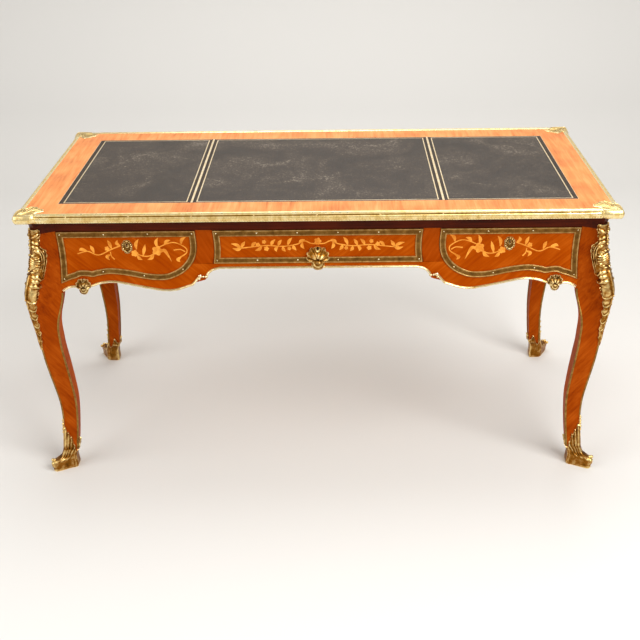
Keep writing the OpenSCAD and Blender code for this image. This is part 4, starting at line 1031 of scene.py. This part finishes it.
# Knee mount, drawn flat: distance from the leg's ridge and height above the floor
KNEE_EDGE = [
    (389, 1.5), (395, 3), (410, 4.5), (418, 6.5), (424, 5), (440, 7.5), (446, 9.5), (452, 7), (466, 9),
    (472, 11.5), (478, 8.5), (494, 11), (500, 14), (506, 10), (520, 13), (527, 16.5), (533, 14), (545, 20),
    (552, 25), (558, 22), (566, 27), (571, 23), (576, 33), (583, 35), (588, 22), (594, 25), (599, 37),
    (605, 33), (615, 33.5), (624, 35.5), (634, 34), (646, 36.5), (656, 36), (664, 37.5), (671, 34),
    (678, 36), (684, 26), (690, 19), (697, 18), (702, 20.5), (708, 18), (713, 21), (719, 18.5), (728, 22),
    (736, 21), (740, 16),
]
KNEE_STROKES = [
    ([(18, 690), (25, 684), (33, 677), (35, 664), (34.5, 645), (32, 625), (31, 606)], 2.2, 1.6, 2.6, 2.0),
    ([(7, 694), (14, 684), (24, 668), (27, 645), (24, 622)], 3.0, 1.4, 3.2, 1.2),
    ([(10, 682), (17, 668), (20, 650), (18, 630)], 2.6, 1.2, 3.4, 1.4),
    ([(26, 676), (30, 660), (29, 640)], 1.8, 0.8, 2.2, 0.8),
    ([(6, 706), (12, 699), (17, 697)], 2.2, 1.0, 2.4, 1.0),
    ([(8, 720), (13, 728), (19, 727), (20, 720), (15, 717)], 2.0, 1.4, 3.2, 2.2),
    ([(9, 613), (14, 606), (23, 600), (35, 600)], 3.0, 1.2, 3.0, 1.6),
    ([(10, 601), (14, 596), (20, 592)], 2.2, 1.2, 2.4, 1.2),
    ([(9, 589), (14, 583), (23, 580), (34, 583)], 3.4, 1.4, 3.6, 2.2),
    ([(0, 612), (0, 560), (0, 500), (0, 440), (0, 395)], 5.0, 1.2, 4.0, 1.6),
    ([(2, 548), (10, 540), (16, 546)], 2.8, 1.0, 3.0, 1.4),
    ([(2, 522), (9, 514), (14, 525)], 2.6, 1.0, 2.8, 1.4),
    ([(2, 496), (7, 488), (12, 499)], 2.4, 0.9, 2.6, 1.2),
    ([(1, 470), (6, 462), (10, 471)], 2.1, 0.8, 2.3, 1.1),
    ([(1, 446), (5, 438), (8, 446)], 1.8, 0.7, 2.0, 1.0),
]
CARTOUCHE_Z, CARTOUCHE_W, CARTOUCHE_H, RIB_PITCH = 646, 10, 20, 5.5
KNEE_BEADS = [(0, z, 2.5, 5.2) for z in range(686, 736, 6)]
KNEE_BEADS += [(12.5 * math.sin(a), CARTOUCHE_Z - 25 * math.cos(a), 2.3, 4.6)
               for a in np.linspace(0.5, 2.75, 9)]
KNEE_BEADS += [
    (18, 707, 2.2, 3.4), (17.5, 714, 2.0, 3.2), (21, 568, 3.2, 4.6), (21, 560, 2.8, 4.2),
    (18.5, 552.5, 2.4, 3.6), (0, 548, 3.2, 6.4), (0, 536, 2.8, 5.8), (0, 525, 2.4, 5.2), (0, 606, 3.4, 3.4),
]
KNEE_SWELL_Z = (390, 420, 520, 560, 600, 625, 700, 712, 740)
KNEE_SWELL = (3, 6, 9, 13.5, 13, 10, 9, 7, 5)
KNEE_LOW, KNEE_HIGH = 390.5, 739.5


def knee_relief(points):
    """Chasing of the knee mount: bead chain, ribbed cartouche in a beaded border, wing, flame and
    acanthus."""
    a, z = points[:, 0], points[:, 1]
    inside = round_top(np.hypot(a / CARTOUCHE_W, (z - CARTOUCHE_Z) / CARTOUCHE_H))
    ribs = 0.75 + 0.25 * np.sin((z + np.abs(a) * 0.9) * 2 * math.pi / RIB_PITCH)
    return np.maximum(relief(points, KNEE_STROKES, KNEE_BEADS), 6.4 * inside * ribs)


def knee_mount_mesh(levels=196, count=49):
    """Brass of one leg's knee, wrapped round the outer corner."""
    zs, edge = np.array(KNEE_EDGE, float).T
    rows = []
    for z in np.linspace(KNEE_LOW, KNEE_HIGH, levels):
        wide = np.interp(z, zs, edge)
        d = np.linspace(-1, 1, count) * wide
        points, way = wrap_at(place_at(z), d)
        lip = 2.7 * float(ease((z - 712) / 6))
        body = 0.9 + np.interp(z, KNEE_SWELL_Z, KNEE_SWELL) * round_top(d, wide)
        rim = 0.9 * ridge(wide - np.abs(d) - 0.9, 1.5)
        chased = knee_relief(np.stack([np.abs(d), np.full(count, z)], 1)) * min(1, (z - 380) / 30)
        thick = body + rim + chased
        thick[[0, -1]] = 0.7
        outer = points + way * (0.4 + lip + thick)[:, None]
        inner = (points + way * (0.3 + lip))[::6][::-1]
        rows.append([(x, y, z) for x, y in np.vstack([outer, inner])])
    return closed_tube(rows)


class TABLE_OT_knee_mounts(bpy.types.Operator):
    """Makes the four chased knee mounts."""

    bl_idname = "table.knee_mounts"
    bl_label = "Knee mounts"

    def execute(self, context):
        on_corners("knee_mount_", knee_mount_mesh(), "gilt")
        return {"FINISHED"}


# Sabot, drawn flat: distance from the outer corner round the foot and height of the upper edge
SABOT_EDGE = [
    (0, 156), (2.5, 155), (4.5, 140), (6, 128), (8.5, 132), (10, 118), (12.5, 110), (15.5, 116), (18, 102),
    (20.5, 96), (24.5, 102), (27, 88), (29, 76), (33, 72), (36, 58), (40, 50), (44, 56), (48, 74), (52, 90),
    (56, 84), (60, 72), (66, 70), (90, 70),
]
SABOT_STROKES = [
    ([(0, 152), (0, 120), (0, 60)], 2.4, 3.4, 2.2, 1.6),
    ([(6, 36), (6.5, 80), (7.5, 130)], 2.8, 1.8, 1.4, 3.4),
    ([(13, 34), (13.5, 75), (14.8, 113)], 2.8, 2.0, 1.4, 3.2),
    ([(20, 34), (21.5, 68), (23.6, 99)], 2.8, 2.0, 1.4, 3.0),
    ([(27, 34), (30, 55), (33, 71)], 2.6, 1.8, 1.2, 2.6),
    ([(42, 28), (44, 50), (47, 68), (51, 84), (56, 84), (55, 76)], 2.2, 1.6, 0.8, 3.0),
]
SABOT_BEADS = [
    (7.6, 128, 3.6, 5.4), (14.8, 112, 3.4, 5.0), (23.6, 98, 3.2, 4.8), (0, 148, 2.8, 4.6),
    (0, 138, 2.8, 4.6), (33, 69, 2.4, 3.4), (53, 84, 3.4, 4.6),
]
# Toe: how far it reaches out, and the share of that at each height
TOE_REACH = 37.6
TOE_LINE = [
    (0, 0.6), (6, 0.66), (10, 0.63), (15, 0.68), (20, 0.72), (31, 0.72), (33.5, 0.62), (36, 0.32),
    (39, 0.11), (44, 0.04), (52, 0),
]
TOE_BALLS = ((-7, 32, 4.8), (0, 35.5, 5.2), (7, 32, 4.8))
ARRIS_BALLS = ((112, 3.4), (121, 3.9), (130, 3.2), (139, 3.7), (148, 2.8))
WALL_Z, WALL = (0, 5, 12, 60, 100), (3.8, 4.6, 4.4, 2.8, 1.6)
# Heights of the ankle, of the section that the sole takes, and of the sole's two faces
ANKLE_Z, SOLE_AT, SOLE_Z = 70, 20, (0.4, 12)
# Height of the corner that the toe's balls start from, and how far out they and the arris balls stand
TOE_AT, TOE_OUT, ARRIS_OUT = 24, 23, 2.2


def sabot_mesh(around=150, levels=62):
    """Brass shoe of one foot: leaf tips up the leg, fluted ankle, curled toe over a flat sole."""
    zs, edge = np.array(SABOT_EDGE, float).T[::-1]
    toe_z, toe = np.array(TOE_LINE, float).T
    share = np.arange(around) / around
    rings = {}

    def ring_at(z):
        """Points round the leg from its outer corner, the way out there, the distance from the corner and
        the corner."""
        key = round(z, 1)
        if key not in rings:
            ring = np.roll(leg_ring(place_at(z), 12), -13, 0)
            start = (ring[0] + ring[-1]) / 2
            line = np.vstack([start, ring, start])
            whole_run = run_along(line)[-1]
            at = share * whole_run
            p = points_along(line, at)
            way = -lefts(p, True)
            way = sum(np.roll(way, k, 0) for k in (-2, -1, 0, 1, 2))
            way /= np.linalg.norm(way, axis=1)[:, None]
            rings[key] = p, way, np.minimum(at, whole_run - at), start
        return rings[key]

    def skin(count, low, wall_at, reach):
        """Rows of points between a height and the upper edge, out from the leg by a wall and the toe."""
        block = np.zeros((count, around, 3))
        for i in range(count):
            for j, z in enumerate(low + (top - low) * i / (count - 1)):
                p, way, gap, _ = ring_at(z)
                out = reach * np.interp(z, toe_z, toe) * float(ease(1.05 - gap[j] / 33))
                block[i, j] = (*(p[j] + way[j] * wall_at(z) + out), z)
        return block

    _, way, far, _ = ring_at(ANKLE_Z)
    top = np.interp(far, edge, zs)
    outer = skin(levels, 0.0, lambda z: float(np.interp(z, WALL_Z, WALL)), TOE_REACH)
    inner = skin(6, 30.0, lambda z: 0.4, 0)
    z = outer[..., 2]
    flat = np.stack([np.tile(far, levels), z.ravel()], 1)
    chased = relief(flat, SABOT_STROKES, SABOT_BEADS).reshape(levels, around)
    flutes = 0.5 * np.abs(np.sin(far * math.pi / 7.0)) * ease((z - 40) / 14) * ease((104 - z) / 12)
    lip = ridge(top - z - 1.2, 2.4)
    outer[..., :2] += way * (chased + flutes + lip)[..., None]
    rows = [np.vstack([outer[:, j], inner[::-1, j]]) for j in range(around)]
    shoe = closed_tube(rows + rows[:1], False)
    sole = closed_tube([[(x, y, z) for x, y in ring_at(SOLE_AT)[0]] for z in SOLE_Z])
    start = ring_at(TOE_AT)[3] + TOE_OUT
    beads = [ball(r, start[0] + a, start[1] - a, z) for a, z, r in TOE_BALLS]
    beads += [ball(r, *(ring_at(z)[3] + ARRIS_OUT), z) for z, r in ARRIS_BALLS]
    return joined([shoe, sole] + beads)


class TABLE_OT_sabots(bpy.types.Operator):
    """Makes the four sabots."""

    bl_idname = "table.sabots"
    bl_label = "Sabots"

    def execute(self, context):
        on_corners("sabot_", sabot_mesh(), "gilt")
        return {"FINISHED"}


# Right half of the shell pull's outline, from its foot to its crown, and of a small scroll plate's
SHELL_EDGE = [
    (0, 610), (8, 611), (12.5, 615), (17.5, 625), (18, 631), (16, 636.5), (23, 635.5), (29, 639),
    (30.5, 645.5), (26.5, 650.5), (29.5, 655), (28, 661), (21.5, 663.5), (21, 669), (17, 674),
    (11.5, 672.5), (7, 676.5), (0, 678),
]
SCROLL_EDGE = [
    (0, 659), (5, 660), (8, 663.5), (7.5, 667), (11.5, 667.5), (14, 671.5), (13.5, 677), (14.2, 682),
    (13, 688), (9.5, 691), (8.5, 694.5), (4, 696.5), (0, 697),
]
SHELL_FOOT_Z, SHELL_FAN_Z, SHELL_BULB_Z, CRESCENT_Z, FAN_LOW_Z = 610, 637, 626, 634, 630
# Heights from which the pull's and the small shell's whole outline can be seen
PULL_EYE_Z, SMALL_EYE_Z = 669, 650
SCROLL_Z, SCROLL_OVAL_Z, SCROLL_CUP_Z = 678, 684, 668
# How much higher than the pull's keyhole the middle escutcheon at the back sits
BACK_KEY_LIFT = 4


def whole(half):
    """Closed outline from its right half."""
    line = curve(half, 4)
    return np.vstack([line, flipped(line)[1:-1]])


def keyhole(z):
    """Outline of a keyhole whose round is at a height."""
    right = [(1.1, -7), (1.3, -2), (2.5, -0.6), (2.4, 1.4), (1.2, 2.6)]
    return [(x, z + up) for x, up in right] + [(-x, z + up) for x, up in right[::-1]]


def shell_height(points):
    """Fluted fan over a round bulb with a crescent on it."""
    x, z = points[:, 0], points[:, 1]
    r, a = np.hypot(x, z - SHELL_FAN_Z), np.arctan2(x, z - SHELL_FAN_Z)
    fan = 5 + 9 * ridge(r - 10, 13) + 3.0 * ease((r - 24) / 12)
    fan += 3.0 * np.abs(np.cos(a * 3.6)) ** 0.7 * np.clip(r / 12, 0, 1)
    bulb = 4 + 15 * round_top(np.hypot(x / 20, (z - SHELL_BULB_Z) / 18))
    bulb += 2.2 * ridge(np.hypot(x, z - CRESCENT_Z) - 12, 2.2) * (z < CRESCENT_Z)
    collar = 2.0 * ridge(np.hypot(x / 5.5, (z - CENTRE_KEY_Z) / 8) - 1, 0.25)
    return np.where(z > SHELL_FAN_Z, fan + collar, np.maximum(bulb, fan * (z > FAN_LOW_Z)))


def scroll_height(points):
    """Pale oval round the keyhole, scrolled and beaded rim, small cup below."""
    x, z = points[:, 0], points[:, 1]
    far, a = np.hypot(x / 14, (z - SCROLL_Z) / 18.5), np.arctan2(x, z - SCROLL_Z)
    rim = 2.6 * ridge(far - 0.8, 0.13) * (0.7 + 0.3 * np.cos(a * 12))
    inner = 2.4 * round_top(np.hypot(x / 7.5, (z - SCROLL_OVAL_Z) / 10))
    cup = 2.6 * ridge(np.hypot(x, z - SCROLL_CUP_Z) - 5, 1.5) * (z < SCROLL_CUP_Z)
    return 1.0 + np.maximum(np.maximum(rim, inner), cup)


class TABLE_OT_plates(bpy.types.Operator):
    """Makes the shell pull, the escutcheons and the small shells on the aprons."""

    bl_idname = "table.plates"
    bl_label = "Shell pull and escutcheons"

    def execute(self, context):
        shell = whole(SHELL_EDGE)
        opening = circle(24) * (2.6, 5.6) + (0, CENTRE_KEY_Z)
        pull = star_plate(shell, (0, PULL_EYE_Z), shell_height, hole=opening, around=176)
        piece("shell_pull_chased", pull, "gilt", "centre_drawer", replaces=["shell_pull"], angle=50)
        scroll = star_plate(whole(SCROLL_EDGE), (0, SCROLL_OVAL_Z), scroll_height,
                            hole=keyhole(KEYHOLE_Z), around=144)
        left, right = [moved(scroll, x) for x in (-ESCUTCHEON_X, ESCUTCHEON_X)]
        middle = moved(scroll, dz=CENTRE_KEY_Z - KEYHOLE_Z + BACK_KEY_LIFT)
        on_drawers("_escutcheon_chased", (left, right), "gilt_dark", "_escutcheon", 50)
        behind = joined([turned(part, turn=2) for part in (left, right, middle)])
        piece("back_escutcheons_chased", behind, "gilt_dark", replaces=["dummy_escutcheons"], angle=50)
        verts, faces = star_plate(shell, (0, SMALL_EYE_Z), shell_height, around=120, rings=18)
        size = APRON_SHELL_SIZE
        verts = [(x * size, (y + FACE_Y) * size - FACE_Y, APRON_SHELL_Z + (z - SHELL_FOOT_Z) * size)
                 for x, y, z in verts]
        shells = [moved((verts, faces), x) for x in (-APRON_SHELL_X, APRON_SHELL_X)]
        shells += [turned(part, turn=2) for part in shells]
        piece("apron_shells_chased", joined(shells), "gilt_dark", replaces=["apron_shells"], angle=50)
        return {"FINISHED"}


# Corner mount in plan, inwards from the brass corner: half of its cushion, the cushion's height and inset
# from row to row, half of its leaf
CUSHION_HALF = [(47, -4), (40, -7.7), (25, -10.6), (10, -10.6), (-2, -10), (-7.6, -7.6)]
CUSHION_ROWS = [(0, 9), (3, 4), (8, 1), (11, 0.2), (14, 0), (17, 0.6), (20, 2), (23, 3.6), (24.5, 5)]
LEAF_HALF = [(47, 10), (52, 17), (61, 22), (67, 30), (63, 36), (64, 43), (56, 45), (52, 52)]
CUSHION_BACK, LEAF_INSET, LEAF_EYE = 12, 4.5, (27, 27)
HALF_STROKES = [
    ([(10, 4), (25, 11), (42, 9), (45, 14), (40, 17)], 2.0, 1.3, 1.2, 1.2),
    ([(26, 20), (42, 22), (60, 29)], 2.2, 1.2, 1.2, 0.9),
    ([(34, 29), (48, 34), (60, 40)], 1.8, 1.0, 1.0, 0.8),
]
CORNER_STROKES = [([(4, 4), (20, 20), (40, 40), (50, 50)], 2.6, 1.2, 1.3, 0.9), *HALF_STROKES]
CORNER_STROKES += [([(v, u) for u, v in path], *rest) for path, *rest in HALF_STROKES]


def inward(path, distance):
    """A path moved towards the middle of the table."""
    return max((shifted(path, d) for d in (distance, -distance)), key=lambda line: line.mean())


def cushion_mesh(outer):
    """Fluted cushion of a corner mount over its outline in plan."""
    rows = []
    for height, inset in CUSHION_ROWS:
        line = inward(outer, inset)
        line[0, 0] = line[-1, 1] = CORNER_LEN
        flutes = 0.5 * np.abs(np.sin(np.arange(len(line)) * 0.9))[:, None] * (line - 40) / 60
        line = line - flutes * (4 < height < 20)
        back = [(CUSHION_BACK, CORNER_LEN), (CUSHION_BACK, CUSHION_BACK), (CORNER_LEN, CUSHION_BACK)]
        rows.append([(DESK_W / 2 - u, DESK_D / 2 - v, TOP_BOTTOM + height) for u, v in [*line, *back]])
    return closed_tube(rows)


class TABLE_OT_corner_mounts(bpy.types.Operator):
    """Makes the four cushioned corner mounts with their leaf plates on the top."""

    bl_idname = "table.corner_mounts"
    bl_label = "Corner mounts"

    def execute(self, context):
        half, leaf = curve(CUSHION_HALF, 6), curve(LEAF_HALF, 4)
        outer = np.vstack([half, half[::-1, ::-1][1:]])
        outline = np.vstack([inward(outer, LEAF_INSET), leaf[:, ::-1], leaf[::-1][1:]])
        closed = np.vstack([outline, outline[:1]])

        def height(points):
            """Chased strokes within a raised rim."""
            edge = np.min([segment_distance(points, a, b)[0] for a, b in zip(closed, closed[1:])], axis=0)
            return 0.9 + np.maximum(relief(points, CORNER_STROKES), 1.2 * ridge(edge - 1.6, 1.1))

        verts, faces = star_plate(outline, LEAF_EYE, height, back=0.3, around=200, rings=30)
        verts = [(DESK_W / 2 - u, DESK_D / 2 - v, WOOD_TOP - FACE_Y - y) for u, y, v in verts]
        on_corners("corner_mount_", joined([cushion_mesh(outer), (verts, faces)]), "gilt_pale")
        return {"FINISHED"}


# Marquetry of the left drawer and of the centre drawer's left half: stems, leaves from root to tip, and
# flowers with their radius
SIDE_STEMS = [
    [(-645, 659), (-617, 666), (-589, 655), (-555, 670), (-528, 681)],
    [(-490, 660), (-469, 651), (-449, 652), (-430, 666)],
    [(-430, 666), (-420, 678), (-385, 689), (-354, 674), (-352, 659), (-369, 647)],
    [(-355, 662), (-368, 669), (-386, 667)], [(-556, 664), (-554, 651), (-546, 642)],
]
SIDE_LEAVES = [
    [(-600, 661), (-604, 674), (-609, 683)], [(-617, 666), (-632, 672), (-640, 668)],
    [(-552, 672), (-556, 686), (-561, 697)], [(-528, 681), (-537, 688), (-534, 697)],
    [(-485, 670), (-486, 686), (-478, 699)], [(-484, 654), (-480, 645), (-472, 640)],
    [(-469, 652), (-465, 669), (-461, 685)], [(-429, 675), (-432, 690), (-426, 703)],
    [(-409, 683), (-404, 692), (-393, 696)], [(-365, 684), (-362, 697), (-351, 704)],
    [(-422, 660), (-410, 666), (-393, 634)], [(-440, 658), (-446, 646), (-458, 640)],
    [(-556, 656), (-566, 650), (-560, 640)], [(-366, 648), (-376, 640), (-370, 633)],
]
SIDE_FLOWERS = [(-564, 673, 7), (-491, 659, 10), (-430, 666, 14.5)]
CENTRE_STEMS = [
    [(-216, 672), (-206, 671), (-177, 674), (-137, 678), (-93, 675), (-55, 681), (-35, 690), (-18, 683),
     (-1, 682)],
]
CENTRE_LEAVES = [
    [(-206, 671), (-200, 681), (-194, 690)], [(-206, 672), (-216, 680), (-232, 684)],
    [(-177, 674), (-172, 682), (-164, 688)], [(-125, 677), (-121, 687), (-113, 695)],
    [(-106, 676), (-102, 686), (-96, 694)], [(-80, 678), (-76, 690), (-68, 700)],
    [(-50, 683), (-44, 690), (-34, 694)], [(-106, 674), (-112, 668), (-110, 660)],
    [(-93, 674), (-92, 667), (-86, 660)], [(-66, 678), (-64, 671), (-57, 663)],
    [(-40, 686), (-42, 676), (-36, 667)], [(-204, 671), (-214, 667), (-228, 671)],
    [(-150, 676), (-156, 668), (-168, 664)],
]
CENTRE_FLOWERS = [(-160, 680, 6.5), (-143, 688, 6), (-137, 669, 7), (-76, 669, 5.5)]
MIDDLE_FLOWER = (0, 689, 10)
# How much lower the centre drawer's marquetry sits on the side panels
FLANK_DROP = 8


def marquetry(stems, leaves, flowers):
    """Slips of one panel, those that cross at slightly different heights."""
    parts = [flat_piece(slip(path, [1.5] * (len(path) - 1) + [2.0]), 0.2) for path in stems]
    parts += [flat_piece(slip(path, [1.2, 4.6, 0.3]), 0.24) for path in leaves]
    for x, z, r in flowers:
        way = circle(48)
        petals = r * (0.72 + 0.28 * np.abs(np.cos(np.arange(48) / 48 * 5 * math.pi)))
        parts.append(flat_piece((x, z) + way * petals[:, None], 0.28))
    return joined(parts)


class TABLE_OT_marquetry(bpy.types.Operator):
    """Lays the scrolling flower marquetry into the drawer fronts, and the same at the back and the sides."""

    bl_idname = "table.marquetry"
    bl_label = "Marquetry"

    def execute(self, context):
        left = marquetry(SIDE_STEMS, SIDE_LEAVES, SIDE_FLOWERS)
        half = marquetry(CENTRE_STEMS, CENTRE_LEAVES, CENTRE_FLOWERS)
        right, centre = turned(left, -1), joined([half, turned(half, -1), marquetry([], [], [MIDDLE_FLOWER])])
        on_drawers("_drawer_marquetry", (left, right, centre), "holly")
        behind = back_and_sides([left, right, centre], moved(centre, dz=-FLANK_DROP))
        piece("back_and_side_marquetry", behind, "holly")
        return {"FINISHED"}


class TABLE_OT_stage(bpy.types.Operator):
    """Sets the pale floor, the soft light and the camera at the photograph's angle."""

    bl_idname = "table.stage"
    bl_label = "Floor, light and camera"

    def execute(self, context):
        stage, link = context.scene.table_stage, context.scene.collection.objects.link
        mesh = bpy.data.meshes.new("floor")
        verts = [(x, y, z) for y, z in FLOOR_LINE for x in (-FLOOR_HALF, FLOOR_HALF)]
        mesh.from_pydata(verts, [], [(k, k + 1, k + 3, k + 2) for k in range(0, len(verts) - 2, 2)])
        mesh.shade_smooth()
        plaster = new_material("plaster_floor", Roughness=0.85, Base_Color=tuple(stage.floor_colour))[0]
        mesh.materials.append(plaster)
        floor = bpy.data.objects.new("floor", mesh)
        link(floor)
        for name, watts, size, at, to in (("key", stage.key_watts, 2.6, (2.0, -2.6, 3.0), (0, 0, 0.5)),
                                          ("fill", stage.fill_watts, 3.0, (-3.0, -2.0, 2.2), (0, 0, 0.5)),
                                          ("top", stage.fill_watts, 2.5, (0.2, 1.0, 3.4), (0, 0.1, 0.7))):
            light = bpy.data.lights.new(name, "AREA")
            light.energy, light.size = watts, size
            lamp = bpy.data.objects.new(name, light)
            lamp.location = at
            lamp.rotation_euler = (Vector(to) - Vector(at)).to_track_quat("-Z", "Y").to_euler()
            link(lamp)
        world = bpy.data.worlds.new("studio")
        world.use_nodes = True
        background = world.node_tree.nodes["Background"].inputs
        background["Color"].default_value = (1.0, 0.97, 0.93, 1)
        background["Strength"].default_value = 0.45
        context.scene.world = world
        context.scene.view_settings.view_transform = "Standard"
        camera = bpy.data.cameras.new("camera")
        camera.sensor_width, camera.lens = 36.0, 36.0 * FOCAL_PX / PHOTO_PX
        eye = bpy.data.objects.new("camera", camera)
        eye.matrix_world = self.camera_matrix()
        link(eye)
        context.scene.camera = eye
        return {"FINISHED"}

    def camera_matrix(self):
        """Place of the camera, turned to its yaw, pitch and roll."""
        yaw, pitch, roll = (math.radians(a) for a in (CAMERA_YAW, CAMERA_PITCH, CAMERA_ROLL))
        right = Vector((math.cos(yaw), math.sin(yaw), 0))
        ahead = Vector((-math.sin(yaw), math.cos(yaw), 0))
        up = ahead * math.sin(pitch) + Vector((0, 0, math.cos(pitch)))
        look = ahead * math.cos(pitch) - Vector((0, 0, math.sin(pitch)))
        side = right * math.cos(roll) + up * math.sin(roll)
        top = up * math.cos(roll) - right * math.sin(roll)
        matrix = Matrix((side, top, -look)).transposed().to_4x4()
        matrix.translation = Vector(CAMERA_AT)
        return matrix


class TABLE_PT_panel(bpy.types.Panel):
    """Lists the table's pieces in the sidebar."""

    bl_idname = "TABLE_PT_panel"
    bl_label = "Writing table"
    bl_space_type = "VIEW_3D"
    bl_region_type = "UI"
    bl_category = "Writing table"

    def draw(self, context):
        for key in TABLE_PG_sizes.__annotations__:
            self.layout.prop(context.scene.table_sizes, key)
        for key in TABLE_PG_stage.__annotations__:
            self.layout.prop(context.scene.table_stage, key)
        for operator in OPERATORS:
            self.layout.operator(operator.bl_idname)


OPERATORS = (
    TABLE_OT_stage, TABLE_OT_carcass, TABLE_OT_legs, TABLE_OT_edge, TABLE_OT_leather, TABLE_OT_frames,
    TABLE_OT_apron_mouldings, TABLE_OT_knee_mounts, TABLE_OT_sabots, TABLE_OT_plates,
    TABLE_OT_corner_mounts, TABLE_OT_marquetry,
)
CLASSES = (TABLE_PG_sizes, TABLE_PG_stage, *OPERATORS, TABLE_PT_panel)


def register():
    """Registers the classes and their settings."""
    for cls in CLASSES:
        bpy.utils.register_class(cls)
    bpy.types.Scene.table_sizes = PointerProperty(type=TABLE_PG_sizes)
    bpy.types.Scene.table_stage = PointerProperty(type=TABLE_PG_stage)


def unregister():
    """Removes the classes and their settings."""
    del bpy.types.Scene.table_sizes
    del bpy.types.Scene.table_stage
    for cls in reversed(CLASSES):
        bpy.utils.unregister_class(cls)


def main():
    """Makes every piece in order."""
    register()
    for operator in OPERATORS:
        group, name = operator.bl_idname.split(".")
        getattr(getattr(bpy.ops, group), name)()


if __name__ == "__main__":
    main()
